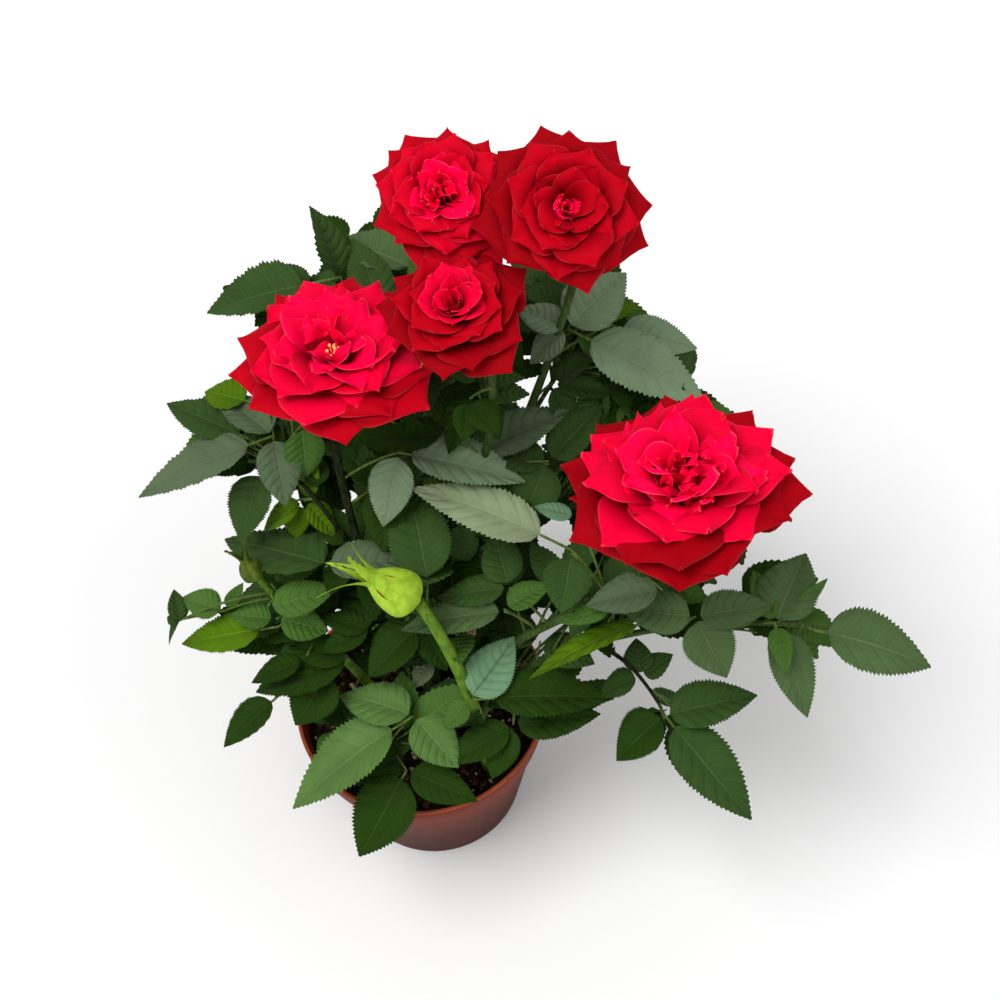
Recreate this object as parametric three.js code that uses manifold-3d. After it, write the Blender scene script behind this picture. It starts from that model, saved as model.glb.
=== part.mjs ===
import * as THREE from 'three';
import { mergeVertices } from 'three/addons/utils/BufferGeometryUtils.js';
import Module from 'manifold-3d';

// A rose bush with five open blooms and two buds, growing in a round plastic pot.
// Millimetres, +Z up. The origin is the middle of the pot's flat underside and the front is -Y.

const wasm = await Module();
wasm.setup();

const UP = new THREE.Vector3(0, 0, 1);

// Clearance kept between pieces that touch.
const FIT = 0.3;

// The pot: a tapered tub with a collar under its rim.
const RIM_RADIUS = 55;
const POT_HEIGHT = 78;
const POT_BASE_RADIUS = 39;
const POT_WALL = 1.6;
const POT_FLOOR = 2;
const COLLAR_HEIGHT = 14;
const COLLAR_FOOT_RADIUS = 53;
const COLLAR_STEP = 1.5;
const POT_SIDES = 32;

// The potting soil fills the tub to a little below the rim.
const SOIL_DEPTH_BELOW_RIM = 8;
const SOIL_TOP = POT_HEIGHT - SOIL_DEPTH_BELOW_RIM;

// Canes and boughs are round limbs that thin from foot to tip.
const LIMB_SIDES = 6;
const LIMB_STEPS = 4;
const CANE_FOOT = SOIL_TOP + FIT;

// A foliage mass is a squat heart with one flat lobe for each spray that reaches out of it.
const LOBE_SIDES = 4;
const LOBE_RINGS = 4;
const LOBE_HALF_WIDTH = 16;
const LOBE_HALF_DEPTH = 7;
const LOBE_FULLEST_AT = 0.42;
const HEART_SQUAT = 0.6;
const UNEVENNESS = 0.16;

// Slivers finer than this are smoothed away where one piece is cut by another.
const SLIVER = 0.05;

// A bloom is a rosette: pointed petal tips round a low dome, over a small hip.
const BLOOM_RINGS = [
  { reach: 0.14, rise: -0.5, notch: 0 },
  { reach: 0.62, rise: -0.2, notch: 0 },
  { reach: 1, rise: 0, notch: 0.16 },
  { reach: 0.7, rise: 0.26, notch: 0.08 },
];
const BLOOM_DOME = 0.4;

const BUD_SIDES = 6;
const BUD_RINGS = 5;

const GREEN_LEAF = { color: 0x2c4a26, roughness: 0.5, metalness: 0 };
const GREEN_BUD = { color: 0x86b23c, roughness: 0.55, metalness: 0 };
const GREEN_CANE = { color: 0x6d8a3f, roughness: 0.6, metalness: 0 };
const RED_PETAL = { color: 0xd3021f, roughness: 0.7, metalness: 0 };
const TERRACOTTA = { color: 0x8a4a36, roughness: 0.55, metalness: 0 };
const DARK_SOIL = { color: 0x2b1f17, roughness: 0.95, metalness: 0 };

// Canes rise straight from the soil and end along `lean`, the way their bloom or tip faces.
const CANES = {
  cane_back_left: { foot: [7, 13], tip: [40.5, 72, 311], lean: [-0.05, -0.4, 1], radii: [3, 2] },
  cane_back_right: { foot: [17, 9], tip: [80, 59, 313], lean: [-0.4, -0.6, 1], radii: [3, 2] },
  cane_middle: { foot: [3, 3], tip: [37, 32, 292], lean: [-0.6, -0.2, 1], radii: [3, 2] },
  cane_left: { foot: [-4, -5], tip: [-11, 38, 264], lean: [0.2, 0.1, 0.9], radii: [3.2, 2] },
  cane_right: { foot: [19, -5], tip: [110, -22, 243], lean: [0.1, 0.2, 1], radii: [3.4, 2.2] },
  cane_bud: { foot: [26, -32], tip: [10, -23, 194], lean: [-0.3, 0.12, 1], radii: [3, 2.2] },
  cane_small_bud: { foot: [-13, -9], tip: [-55, 10, 178], lean: [-0.3, 0.1, 1], radii: [2.4, 1.2] },
  cane_low_right: { foot: [25, -14], tip: [178, -45, 170], lean: [1, -0.35, -0.25], radii: [2.8, 1.2] },
  cane_front: { foot: [-3, -18], tip: [-17, -40, 113], lean: [-0.6, -0.5, 0.6], radii: [2.4, 1.5] },
  cane_back: { foot: [2, 22], tip: [8, 64, 148], lean: [0.1, 0.6, 0.8], radii: [2.8, 1.5] },
  cut_stub: { foot: [21, 2], tip: [26, -4, 138], lean: [0.1, -0.1, 1], radii: [2.8, 2.4] },
};

// Boughs leave a cane part of the way up it and end just inside the foliage that they carry.
const BOUGHS = {
  bough_left_upper: { cane: 'cane_left', at: 0.38, tip: [-42, 47, 208], radii: [1.8, 1.2] },
  bough_back_left: { cane: 'cane_back_left', at: 0.36, tip: [-7, 88, 240], radii: [1.8, 1.2] },
  bough_back_right: { cane: 'cane_back_right', at: 0.42, tip: [80, 66, 226], radii: [1.8, 1.2] },
  bough_back_right_low: { cane: 'cane_back_right', at: 0.2, tip: [80, 44, 158], radii: [1.8, 1.2] },
  bough_right_low: { cane: 'cane_low_right', at: 0.42, tip: [99, -45, 131], radii: [1.5, 1] },
  bough_front_right: { cane: 'cane_low_right', at: 0.2, tip: [44, -32, 137], radii: [1.5, 1] },
};

const BLOOMS = {
  bloom_back_left: { centre: [40, 68, 321], faces: [-0.05, -0.4, 1], radius: 29, depth: 28, points: 9 },
  bloom_back_right: { centre: [80, 53, 324], faces: [0.1, -0.6, 1], radius: 33, depth: 30, points: 10 },
  bloom_middle: { centre: [36, 30, 304], faces: [-0.05, -0.2, 1], radius: 29, depth: 28, points: 9 },
  bloom_left: { centre: [-11, 39, 276], faces: [0, 0.05, 1], radius: 40, depth: 30, points: 10 },
  bloom_right: { centre: [110, -20, 258], faces: [0, 0.15, 1], radius: 47, depth: 38, points: 12 },
};

const BUDS = {
  bud_large: { foot: [9, -22, 193], faces: [-0.77, 0.29, 0.57], radius: 8, length: 28 },
  bud_small: { foot: [-56, 10.5, 177], faces: [-0.2, 0.2, 1], radius: 5, length: 17 },
};

const FOLIAGE = {
  leaves_centre: {
    heart: [24, 8, 196],
    girth: 34,
    tips: [[62, -8, 215], [11, 42, 222], [-20, 4, 194], [44, -24, 178], [-10, -20, 160], [68, 36, 214]],
  },
  leaves_low_middle: {
    heart: [14, 2, 138],
    girth: 32,
    tips: [[-30, -14, 152], [56, 14, 152], [-20, 36, 138], [30, 44, 144]],
  },
  leaves_upper: {
    heart: [30, 54, 252],
    girth: 21,
    tips: [[60, 42, 262], [2, 72, 262], [50, 88, 250], [6, 34, 240]],
  },
  leaves_left_upper: {
    heart: [-54, 52, 214],
    girth: 22,
    tips: [[-97, 40, 200], [-84, 74, 214], [-64, 78, 226], [-60, 22, 182], [-22, 46, 208]],
  },
  leaves_left_lower: {
    heart: [-52, 8, 152],
    girth: 26,
    tips: [[-96, 2, 160], [-90, -12, 148], [-78, -38, 126], [-76, 38, 165], [-28, 34, 162], [-40, -34, 126]],
  },
  leaves_front: {
    heart: [-12, -44, 120],
    girth: 21,
    tips: [[-57, -60, 110], [-29, -82, 92], [21, -64, 100], [-42, -16, 132]],
  },
  leaves_front_right: {
    heart: [48, -38, 142],
    girth: 17,
    tips: [[80, -48, 140], [32, -62, 112], [22, -22, 150]],
  },
  leaves_back_left: {
    heart: [-12, 100, 246],
    girth: 20,
    tips: [[-61, 94, 240], [-13, 120, 268], [26, 116, 242], [-26, 132, 226]],
  },
  leaves_back_right: {
    heart: [93, 74, 232],
    girth: 23,
    tips: [[128, 28, 235], [104, 96, 250], [132, 68, 216], [58, 68, 228], [66, 104, 232], [112, 110, 212]],
  },
  leaves_right_inner: {
    heart: [90, -20, 170],
    girth: 24,
    tips: [[124, -54, 176], [48, -46, 172], [62, 8, 176], [112, 16, 180], [74, -36, 146]],
  },
  leaves_right: {
    heart: [143, -36, 173],
    girth: 9,
    tips: [[161, -8, 180], [156, -63, 145], [126, -16, 176]],
  },
  leaves_right_tip: {
    heart: [176, -46, 171],
    girth: 5,
    tips: [[204, -58, 170]],
  },
  leaves_right_low: {
    heart: [107, -48, 127],
    girth: 14,
    tips: [[136, -44, 136], [129, -88, 112], [80, -56, 112], [96, -16, 132]],
  },
  leaves_back_low: {
    heart: [4, 78, 160],
    girth: 33,
    tips: [[-48, 100, 150], [-16, 132, 172], [34, 134, 178], [50, 96, 144], [-44, 64, 190], [8, 98, 210]],
  },
  leaves_back_right_low: {
    heart: [98, 54, 166],
    girth: 26,
    tips: [[148, 50, 172], [130, 96, 178], [88, 104, 158], [120, 10, 142]],
  },
};

function vector(numbers) {
  return new THREE.Vector3(...numbers);
}

// A repeatable wobble between -1 and 1 for each count.
function wobble(count) {
  const wave = Math.sin(count * 12.9898 + 4.137) * 43758.5453;
  return 2 * (wave - Math.floor(wave)) - 1;
}

function solidOf(geometry) {
  const bare = geometry.clone();
  bare.deleteAttribute('normal');
  bare.deleteAttribute('uv');
  const welded = mergeVertices(bare, 1e-4);
  const corners = [];
  for (let i = 0; i < welded.index.count; i += 3) {
    const [a, b, c] = welded.index.array.slice(i, i + 3);
    if (a !== b && b !== c && c !== a) corners.push(a, b, c);
  }
  const mesh = new wasm.Mesh({
    numProp: 3,
    vertProperties: new Float32Array(welded.attributes.position.array),
    triVerts: new Uint32Array(corners),
  });
  return new wasm.Manifold(mesh);
}

function geometryOf(solid) {
  const mesh = solid.getMesh();
  const geometry = new THREE.BufferGeometry();
  geometry.setAttribute('position', new THREE.BufferAttribute(mesh.vertProperties, mesh.numProp));
  geometry.setIndex(new THREE.BufferAttribute(mesh.triVerts, 1));
  geometry.computeVertexNormals();
  return geometry;
}

function largestBody(solid) {
  return solid.decompose().reduce((best, body) => (body.volume() > best.volume() ? body : best));
}

// Turns a profile of [radius, height] pairs about the Z axis.
function turned(profile, sides) {
  const points = profile.map(([radius, height]) => new THREE.Vector2(radius, height));
  return new THREE.LatheGeometry(points, sides).rotateX(Math.PI / 2);
}

// Moves each vertex of a geometry to where `place` puts it.
function reshape(geometry, place) {
  const position = geometry.attributes.position;
  const point = new THREE.Vector3();
  for (let i = 0; i < position.count; i += 1) {
    point.fromBufferAttribute(position, i);
    position.setXYZ(i, ...place(point, i).toArray());
  }
  return geometry;
}

function potGeometry() {
  const bodyTop = COLLAR_FOOT_RADIUS - COLLAR_STEP;
  const collarFoot = POT_HEIGHT - COLLAR_HEIGHT;
  return turned([
    [0, 0],
    [POT_BASE_RADIUS, 0],
    [bodyTop, collarFoot],
    [COLLAR_FOOT_RADIUS, collarFoot],
    [RIM_RADIUS, POT_HEIGHT],
    [RIM_RADIUS - POT_WALL, POT_HEIGHT],
    [bodyTop - POT_WALL, collarFoot],
    [POT_BASE_RADIUS - POT_WALL, POT_FLOOR],
    [0, POT_FLOOR],
  ], POT_SIDES);
}

// The soil follows the inside of the tub, a fit's width clear of it.
function soilGeometry() {
  const collarFoot = POT_HEIGHT - COLLAR_HEIGHT;
  const bodyTop = COLLAR_FOOT_RADIUS - COLLAR_STEP - POT_WALL - FIT;
  const rim = RIM_RADIUS - POT_WALL - FIT;
  const share = (SOIL_TOP - collarFoot) / COLLAR_HEIGHT;
  return turned([
    [0, POT_FLOOR + FIT],
    [POT_BASE_RADIUS - POT_WALL - FIT, POT_FLOOR + FIT],
    [bodyTop, collarFoot],
    [THREE.MathUtils.lerp(bodyTop, rim, share), SOIL_TOP],
    [0, SOIL_TOP],
  ], POT_SIDES);
}

// Bends a tapered cylinder along a curve.
function limbGeometry(curve, [footRadius, tipRadius], extra) {
  const frames = curve.computeFrenetFrames(LIMB_STEPS, false);
  const rod = new THREE.CylinderGeometry(
    tipRadius + extra, footRadius + extra, LIMB_STEPS, LIMB_SIDES, LIMB_STEPS,
  );
  return reshape(rod, (point) => {
    const step = Math.round(point.y + LIMB_STEPS / 2);
    return curve
      .getPoint(step / LIMB_STEPS)
      .addScaledVector(frames.normals[step], point.z)
      .addScaledVector(frames.binormals[step], point.x);
  });
}

function caneCurve({ foot, tip, lean }) {
  const start = new THREE.Vector3(foot[0], foot[1], CANE_FOOT);
  const end = vector(tip);
  const reach = start.distanceTo(end);
  const rise = start.clone().addScaledVector(UP, reach * 0.42);
  const turn = end.clone().addScaledVector(vector(lean).normalize(), -reach * 0.3);
  return new THREE.CubicBezierCurve3(start, rise, turn, end);
}

function boughCurve({ cane, at, tip }) {
  const parent = caneCurve(CANES[cane]);
  const start = parent.getPoint(at);
  const end = vector(tip);
  const reach = start.distanceTo(end);
  const turn = start.clone().addScaledVector(parent.getTangent(at), reach * 0.5);
  return new THREE.QuadraticBezierCurve3(start, turn, end);
}

// Turns +Z to face along `faces` and moves the foot of the piece to `place`.
function stand(geometry, faces, place) {
  const turn = new THREE.Quaternion().setFromUnitVectors(UP, vector(faces).normalize());
  return geometry.applyQuaternion(turn).translate(...place);
}

function bloomGeometry({ centre, faces, radius, depth, points }, extra) {
  const underside = { reach: 0, rise: BLOOM_RINGS[0].rise, notch: 0 };
  const dome = { reach: 0, rise: BLOOM_DOME, notch: 0 };
  const rings = [underside, ...BLOOM_RINGS, dome];
  const rosette = turned(rings.map(({ reach, rise }) => [reach, rise]), points * 2);
  const shaped = reshape(rosette, (point, i) => {
    const betweenPetals = Math.floor(i / rings.length) % 2 === 1;
    const notch = betweenPetals ? rings[i % rings.length].notch : 0;
    const across = radius * (1 - notch) + extra;
    return new THREE.Vector3(point.x * across, point.y * across, point.z * (depth + 2 * extra));
  });
  return stand(shaped, faces, centre);
}

function budGeometry({ foot, faces, radius, length }, extra) {
  const egg = new THREE.SphereGeometry(1, BUD_SIDES, BUD_RINGS).rotateX(Math.PI / 2);
  const shaped = reshape(egg, (point) => {
    const along = (point.z + 1) / 2;
    const across = (radius + extra) * (1 - 0.45 * along);
    return new THREE.Vector3(point.x * across, point.y * across, along * (length + 2 * extra) - extra);
  });
  return stand(shaped, faces, foot);
}

// A flat pointed lobe that runs from the heart of a mass to the tip of one spray.
function lobeGeometry(heart, tip, extra) {
  const along = tip.clone().sub(heart);
  const length = along.length();
  along.normalize();
  const across = new THREE.Vector3().crossVectors(along, UP).normalize();
  const through = new THREE.Vector3().crossVectors(along, across);
  const egg = new THREE.SphereGeometry(1, LOBE_SIDES, LOBE_RINGS).rotateX(Math.PI / 2);
  return reshape(egg, (point) => {
    const share = (point.z + 1) / 2;
    const taper = share < LOBE_FULLEST_AT ? 1 : 1 - 0.35 * (share - LOBE_FULLEST_AT);
    return heart
      .clone()
      .addScaledVector(along, share * (length + extra))
      .addScaledVector(across, point.x * taper * (LOBE_HALF_WIDTH + extra))
      .addScaledVector(through, point.y * taper * (LOBE_HALF_DEPTH + extra));
  });
}

function heartGeometry(heart, girth, extra, seed) {
  const ball = new THREE.IcosahedronGeometry(1, 1);
  return reshape(ball, (point) => {
    const key = Math.round(point.x * 97) + Math.round(point.y * 57) + Math.round(point.z * 31) + seed;
    const reach = girth * (1 + UNEVENNESS * wobble(key)) + extra;
    return heart.clone().add(new THREE.Vector3(point.x * reach, point.y * reach, point.z * reach * HEART_SQUAT));
  });
}

function foliageSolid({ heart, girth, tips }, extra, seed) {
  const middle = vector(heart);
  const core = solidOf(heartGeometry(middle, girth, extra, seed));
  return tips.reduce(
    (mass, tip) => mass.add(solidOf(lobeGeometry(middle, vector(tip), extra))),
    core,
  );
}

const group = new THREE.Group();
const standing = [];

function place(name, geometry, finish) {
  const mesh = new THREE.Mesh(geometry, new THREE.MeshStandardMaterial(finish));
  mesh.name = name;
  group.add(mesh);
}

// Adds one piece, cut clear of every piece that already stands there.
function grow(name, finish, shape) {
  const free = standing.reduce((rest, taken) => rest.subtract(taken), shape(0));
  place(name, geometryOf(largestBody(free.simplify(SLIVER))), finish);
  standing.push(shape(FIT));
}

place('pot', potGeometry(), TERRACOTTA);
place('soil', soilGeometry(), DARK_SOIL);

for (const [name, cane] of Object.entries(CANES)) {
  grow(name, GREEN_CANE, (extra) => solidOf(limbGeometry(caneCurve(cane), cane.radii, extra)));
}
for (const [name, bough] of Object.entries(BOUGHS)) {
  grow(name, GREEN_CANE, (extra) => solidOf(limbGeometry(boughCurve(bough), bough.radii, extra)));
}
for (const [name, bloom] of Object.entries(BLOOMS)) {
  grow(name, RED_PETAL, (extra) => solidOf(bloomGeometry(bloom, extra)));
}
for (const [name, bud] of Object.entries(BUDS)) {
  grow(name, GREEN_BUD, (extra) => solidOf(budGeometry(bud, extra)));
}
Object.entries(FOLIAGE).forEach(([name, mass], seed) => {
  grow(name, GREEN_LEAF, (extra) => foliageSolid(mass, extra, seed));
});

export default group;
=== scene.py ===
# %% [markdown]
# # A potted rose bush
#
# This lesson dresses a rose bush that stands in a small plastic pot. The frame that
# is loaded first holds the plain solids: the pot, its soil, the canes, a rosette for
# each bloom and a rough lump for each mass of leaves. Everything that is modelled
# below grows inside those solids, in metres and in the same frame, so nothing has to
# be fitted afterwards.

# %% Load the frame and measure it
import math
import random

import bmesh
import bpy
from mathutils import Matrix, Quaternion, Vector, noise


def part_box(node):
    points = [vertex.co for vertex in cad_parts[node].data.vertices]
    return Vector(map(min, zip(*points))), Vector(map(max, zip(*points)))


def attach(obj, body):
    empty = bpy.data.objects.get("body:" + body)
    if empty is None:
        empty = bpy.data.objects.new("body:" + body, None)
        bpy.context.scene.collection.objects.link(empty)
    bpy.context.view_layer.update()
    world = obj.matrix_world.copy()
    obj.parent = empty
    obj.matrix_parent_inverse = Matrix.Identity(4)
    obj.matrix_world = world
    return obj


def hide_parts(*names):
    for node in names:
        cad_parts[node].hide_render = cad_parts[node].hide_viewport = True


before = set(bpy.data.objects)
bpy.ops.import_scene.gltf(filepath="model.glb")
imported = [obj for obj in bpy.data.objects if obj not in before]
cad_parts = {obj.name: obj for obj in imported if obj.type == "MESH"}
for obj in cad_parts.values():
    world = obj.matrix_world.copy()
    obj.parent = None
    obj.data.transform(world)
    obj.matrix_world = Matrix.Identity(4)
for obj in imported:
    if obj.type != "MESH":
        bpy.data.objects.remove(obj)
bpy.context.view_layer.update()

MM = 0.001
UP = Vector((0.0, 0.0, 1.0))

# %% [markdown]
# ## Sizes
#
# Small plants are measured in millimetres, so the tables in this lesson are written in
# them, and one helper turns a triple of millimetres into a point in metres. Angles are
# written in degrees: a bearing turns from +X towards +Y, and a rise lifts off the level.

# %% Helpers for places and directions


def point(x, y, z):
    return Vector((x, y, z)) * MM


def heading(bearing, rise):
    turn, lift = math.radians(bearing), math.radians(rise)
    return Vector((math.cos(lift) * math.cos(turn), math.cos(lift) * math.sin(turn), math.sin(lift)))


def turned(radius, angle, height):
    """The place `radius` out from the Z axis at `angle` radians, and `height` up it."""
    return Vector((radius * math.cos(angle), radius * math.sin(angle), height))


def mix(low, high, share):
    return low + (high - low) * share


def square_to(direction):
    """Gives the unit vector nearest to straight up that stands square to `direction`."""
    across = UP - direction * UP.dot(direction)
    if across.length < 1e-6:
        across = Vector((1.0, 0.0, 0.0)) - direction * direction.x
    return across.normalized()


print("a bearing of 90 degrees points along", tuple(round(c, 3) for c in heading(90, 0)))

# %% [markdown]
# ## Camera
#
# The plant is looked down on from the front, from a little over half a metre above the
# blooms. A longish lens keeps the near blooms from swelling. The camera is built from
# three turns: tip it down, roll it slightly, and set it in place.

# %% Camera
CAMERA_PLACE = point(44.5, -394.0, 829.8)
CAMERA_DOWN = 56.8
CAMERA_ROLL = -6.8
CAMERA_LENS = 69.5

camera_data = bpy.data.cameras.new("camera")
camera_data.lens = CAMERA_LENS
camera_data.sensor_width = 36.0
camera_data.clip_start = 0.01
camera = bpy.data.objects.new("camera", camera_data)
bpy.context.scene.collection.objects.link(camera)
camera_turn = Matrix.Rotation(math.radians(90.0 - CAMERA_DOWN), 4, "X")
camera_roll = Matrix.Rotation(math.radians(CAMERA_ROLL), 4, "Z")
camera.matrix_world = Matrix.Translation(CAMERA_PLACE) @ camera_turn @ camera_roll
bpy.context.scene.camera = camera
print("camera", round(camera_data.lens, 1), "mm lens at", tuple(camera.location))

# %% [markdown]
# ## Light and floor
#
# Petals are a very strong red, and a film-like view transform would wash them out, so
# the view is set to Standard. The light is a bright even sky and two suns with wide
# disks, which cast soft shadows and light the floor evenly to its edges. The stronger
# one stands above and to the left and gives the leaves their shape. The floor is a
# plain pale sheet.

# %% Light
bpy.context.scene.view_settings.view_transform = "Standard"


def sky(colour, strength):
    world = bpy.data.worlds.new("studio")
    world.use_nodes = True
    backdrop = world.node_tree.nodes["Background"]
    backdrop.inputs["Color"].default_value = (*colour, 1.0)
    backdrop.inputs["Strength"].default_value = strength
    bpy.context.scene.world = world


def soft_sun(name, from_place, disk, power):
    data = bpy.data.lights.new(name, "SUN")
    data.angle = math.radians(disk)
    data.energy = power
    lamp = bpy.data.objects.new(name, data)
    lamp.location = from_place
    lamp.rotation_euler = (-from_place).to_track_quat("-Z", "Y").to_euler()
    bpy.context.scene.collection.objects.link(lamp)


sky((1.0, 1.0, 1.0), 0.58)
soft_sun("key_sun", point(-450, -200, 1150), 35, 1.8)
soft_sun("fill_sun", point(700, -600, 800), 60, 0.45)

# %% [markdown]
# ## Building materials out of nodes
#
# Every finish below is a small tree of nodes. One helper makes a node and fills its
# sockets: a number or colour is set on the socket, and another node's output is linked
# to it. That keeps each material to a few readable lines.

# %% Node helpers


def fill(tree, sockets, values):
    """Links each named socket to another node's output, or sets it to a plain value."""
    for name, value in values.items():
        if isinstance(value, bpy.types.NodeSocket):
            tree.links.new(value, sockets[name])
        else:
            sockets[name].default_value = value


def node(tree, kind, inputs=None, **settings):
    made = tree.nodes.new(kind)
    for name, value in settings.items():
        setattr(made, name, value)
    fill(tree, made.inputs, inputs or {})
    return made


def maths(tree, operation, first, second=0.0, third=0.0):
    """One sum. MULTIPLY_ADD gives `first` times `second` plus `third`."""
    return node(tree, "ShaderNodeMath", {0: first, 1: second, 2: third}, operation=operation).outputs[0]


def blend(tree, share, first, second):
    """Mixes two colours, each of them a triple of numbers or another node's output."""
    ends = [c if isinstance(c, bpy.types.NodeSocket) else (*c, 1.0) for c in (first, second)]
    return node(tree, "ShaderNodeMix", {0: share, 6: ends[0], 7: ends[1]}, data_type="RGBA").outputs[2]


def ramp(tree, value, low, high):
    """Turns `value` into 0 at `low` and 1 at `high`, with soft ends."""
    span = {"Value": value, "From Min": low, "From Max": high}
    return node(tree, "ShaderNodeMapRange", span, interpolation_type="SMOOTHSTEP").outputs["Result"]


def clouds(tree, place, scale, detail=2.0):
    """A soft noise between 0 and 1."""
    return node(tree, "ShaderNodeTexNoise", {"Vector": place, "Scale": scale, "Detail": detail}).outputs[0]


print("node helpers ready")

# %% Helpers for groups and materials
VALUE, VECTOR = "NodeSocketFloat", "NodeSocketVector"


def new_group(name, inputs, outputs):
    """Starts a node group. An input is its name, kind and first value, an output its name."""
    tree = bpy.data.node_groups.new(name, "ShaderNodeTree")
    for title, kind, value in inputs:
        socket = tree.interface.new_socket(name=title, in_out="INPUT", socket_type=kind)
        if value is not None:
            socket.default_value = value
    for title in outputs:
        tree.interface.new_socket(name=title, in_out="OUTPUT", socket_type=VALUE)
    return tree, node(tree, "NodeGroupInput").outputs, node(tree, "NodeGroupOutput").inputs


def use_group(tree, group, inputs):
    return node(tree, "ShaderNodeGroup", inputs, node_tree=group).outputs


def new_material(name, **shader_values):
    """Gives a material, its tree and its Principled shader with constant values set."""
    material = bpy.data.materials.new(name)
    material.use_nodes = True
    shader = material.node_tree.nodes["Principled BSDF"]
    for title, value in shader_values.items():
        shader.inputs[title.replace("_", " ")].default_value = value
    return material, material.node_tree, shader


print("group helpers ready")

# %% [markdown]
# ## Shared effects
#
# Two effects turn up in every finish, so each is a node group. "Mottle" is the soft
# unevenness that every grown or moulded surface has. It is a factor round one and a
# half, so it also lifts the colour that it multiplies. "Fine grain" is a very small
# bumpiness: velvet on a petal, pores on a leaf, dust on plastic.

# %% Mottle and fine grain groups
MOTTLE_LEVEL = 1.5

mottle_group, source, result = new_group(
    "mottle", [("Vector", VECTOR, None), ("Scale", VALUE, 60.0), ("Depth", VALUE, 0.3)], ["Value"]
)
swing = maths(mottle_group, "SUBTRACT", clouds(mottle_group, source["Vector"], source["Scale"], 3.0), 0.5)
swing = maths(mottle_group, "MULTIPLY", swing, source["Depth"])
fill(mottle_group, result, {"Value": maths(mottle_group, "MULTIPLY_ADD", swing, 2.0, MOTTLE_LEVEL)})

grain_group, source, result = new_group(
    "fine grain", [("Vector", VECTOR, None), ("Scale", VALUE, 900.0)], ["Height"]
)
fill(grain_group, result, {"Height": clouds(grain_group, source["Vector"], source["Scale"])})
print("mottle nodes", len(mottle_group.nodes), "grain nodes", len(grain_group.nodes))

# %% [markdown]
# Every finish starts from the same few nodes and ends in the same sockets, so those
# steps are helpers too. Colours and relief follow the object's own coordinates, or the
# UV map "blade" of a leaf or a petal.

# %% How every finish starts and ends


def object_place(tree):
    return node(tree, "ShaderNodeTexCoord").outputs["Object"]


def blade_uv(tree):
    return node(tree, "ShaderNodeUVMap", uv_map="blade").outputs["UV"]


def backfacing(tree):
    return node(tree, "ShaderNodeNewGeometry").outputs["Backfacing"]


def stretched(tree, vector, scale):
    return node(tree, "ShaderNodeMapping", {"Vector": vector, "Scale": scale}).outputs[0]


def mottle(tree, place, scale, depth):
    return use_group(tree, mottle_group, {"Vector": place, "Scale": scale, "Depth": depth})["Value"]


def grain(tree, place, scale):
    return use_group(tree, grain_group, {"Vector": place, "Scale": scale})["Height"]


def close_material(tree, shader, colour, uneven, rough, lift, strength, depth=0.3):
    """Plugs colour, roughness and relief into the shader. The relief's depth is in millimetres."""
    tone = node(tree, "ShaderNodeHueSaturation", {"Value": uneven, "Color": colour}).outputs["Color"]
    bump = node(tree, "ShaderNodeBump", {"Strength": strength, "Distance": depth * MM, "Height": lift})
    fill(tree, shader.inputs, {"Base Color": tone, "Roughness": rough, "Normal": bump.outputs["Normal"]})


print("finish helpers ready")

# %% [markdown]
# ## Leaf finish
#
# A rose leaflet has a pale midrib, six or seven pairs of side veins that lean towards
# the tip, and a blade that puffs up a little between them. All of that follows the
# leaflet, so it is drawn from the leaflet's own UV map: U runs across the blade with
# the midrib at one half, and V runs from the stalk to the tip. The group gives a mask
# for the midrib, one for the side veins and a height for the puffing.

# %% Leaf relief group
VEIN_PAIRS = 7.0
VEIN_LEAN = 0.2
PUFF_HEIGHT = 0.8

relief_group, source, result = new_group(
    "leaf relief", [("UV", VECTOR, None)], ["Midrib", "Veins", "Height"]
)
split = node(relief_group, "ShaderNodeSeparateXYZ", {"Vector": source["UV"]})
aside = maths(relief_group, "ABSOLUTE", maths(relief_group, "SUBTRACT", split.outputs["X"], 0.5))
aside = maths(relief_group, "MULTIPLY", aside, 2.0)
midrib = ramp(relief_group, aside, 0.07, 0.02)
lean = maths(relief_group, "MULTIPLY", maths(relief_group, "POWER", aside, 1.4), VEIN_LEAN)
phase = maths(relief_group, "SUBTRACT", split.outputs["Y"], lean)
phase = maths(relief_group, "FRACT", maths(relief_group, "MULTIPLY", phase, VEIN_PAIRS))
from_vein = maths(relief_group, "ABSOLUTE", maths(relief_group, "SUBTRACT", phase, 0.5))
veins = ramp(relief_group, from_vein, 0.42, 0.5)
puff = maths(relief_group, "MULTIPLY", ramp(relief_group, from_vein, 0.5, 0.15), PUFF_HEIGHT)
height = maths(relief_group, "SUBTRACT", puff, midrib)
fill(relief_group, result, {"Midrib": midrib, "Veins": veins, "Height": height})
print("relief nodes", len(relief_group.nodes))

# %% Leaf material
# how far the side veins and the midrib take the rib's colour
VEIN_TINT, RIB_TINT = 0.14, 0.45
# how much duller every blade is than its tint says
MATT_LIFT = 0.42


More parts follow.
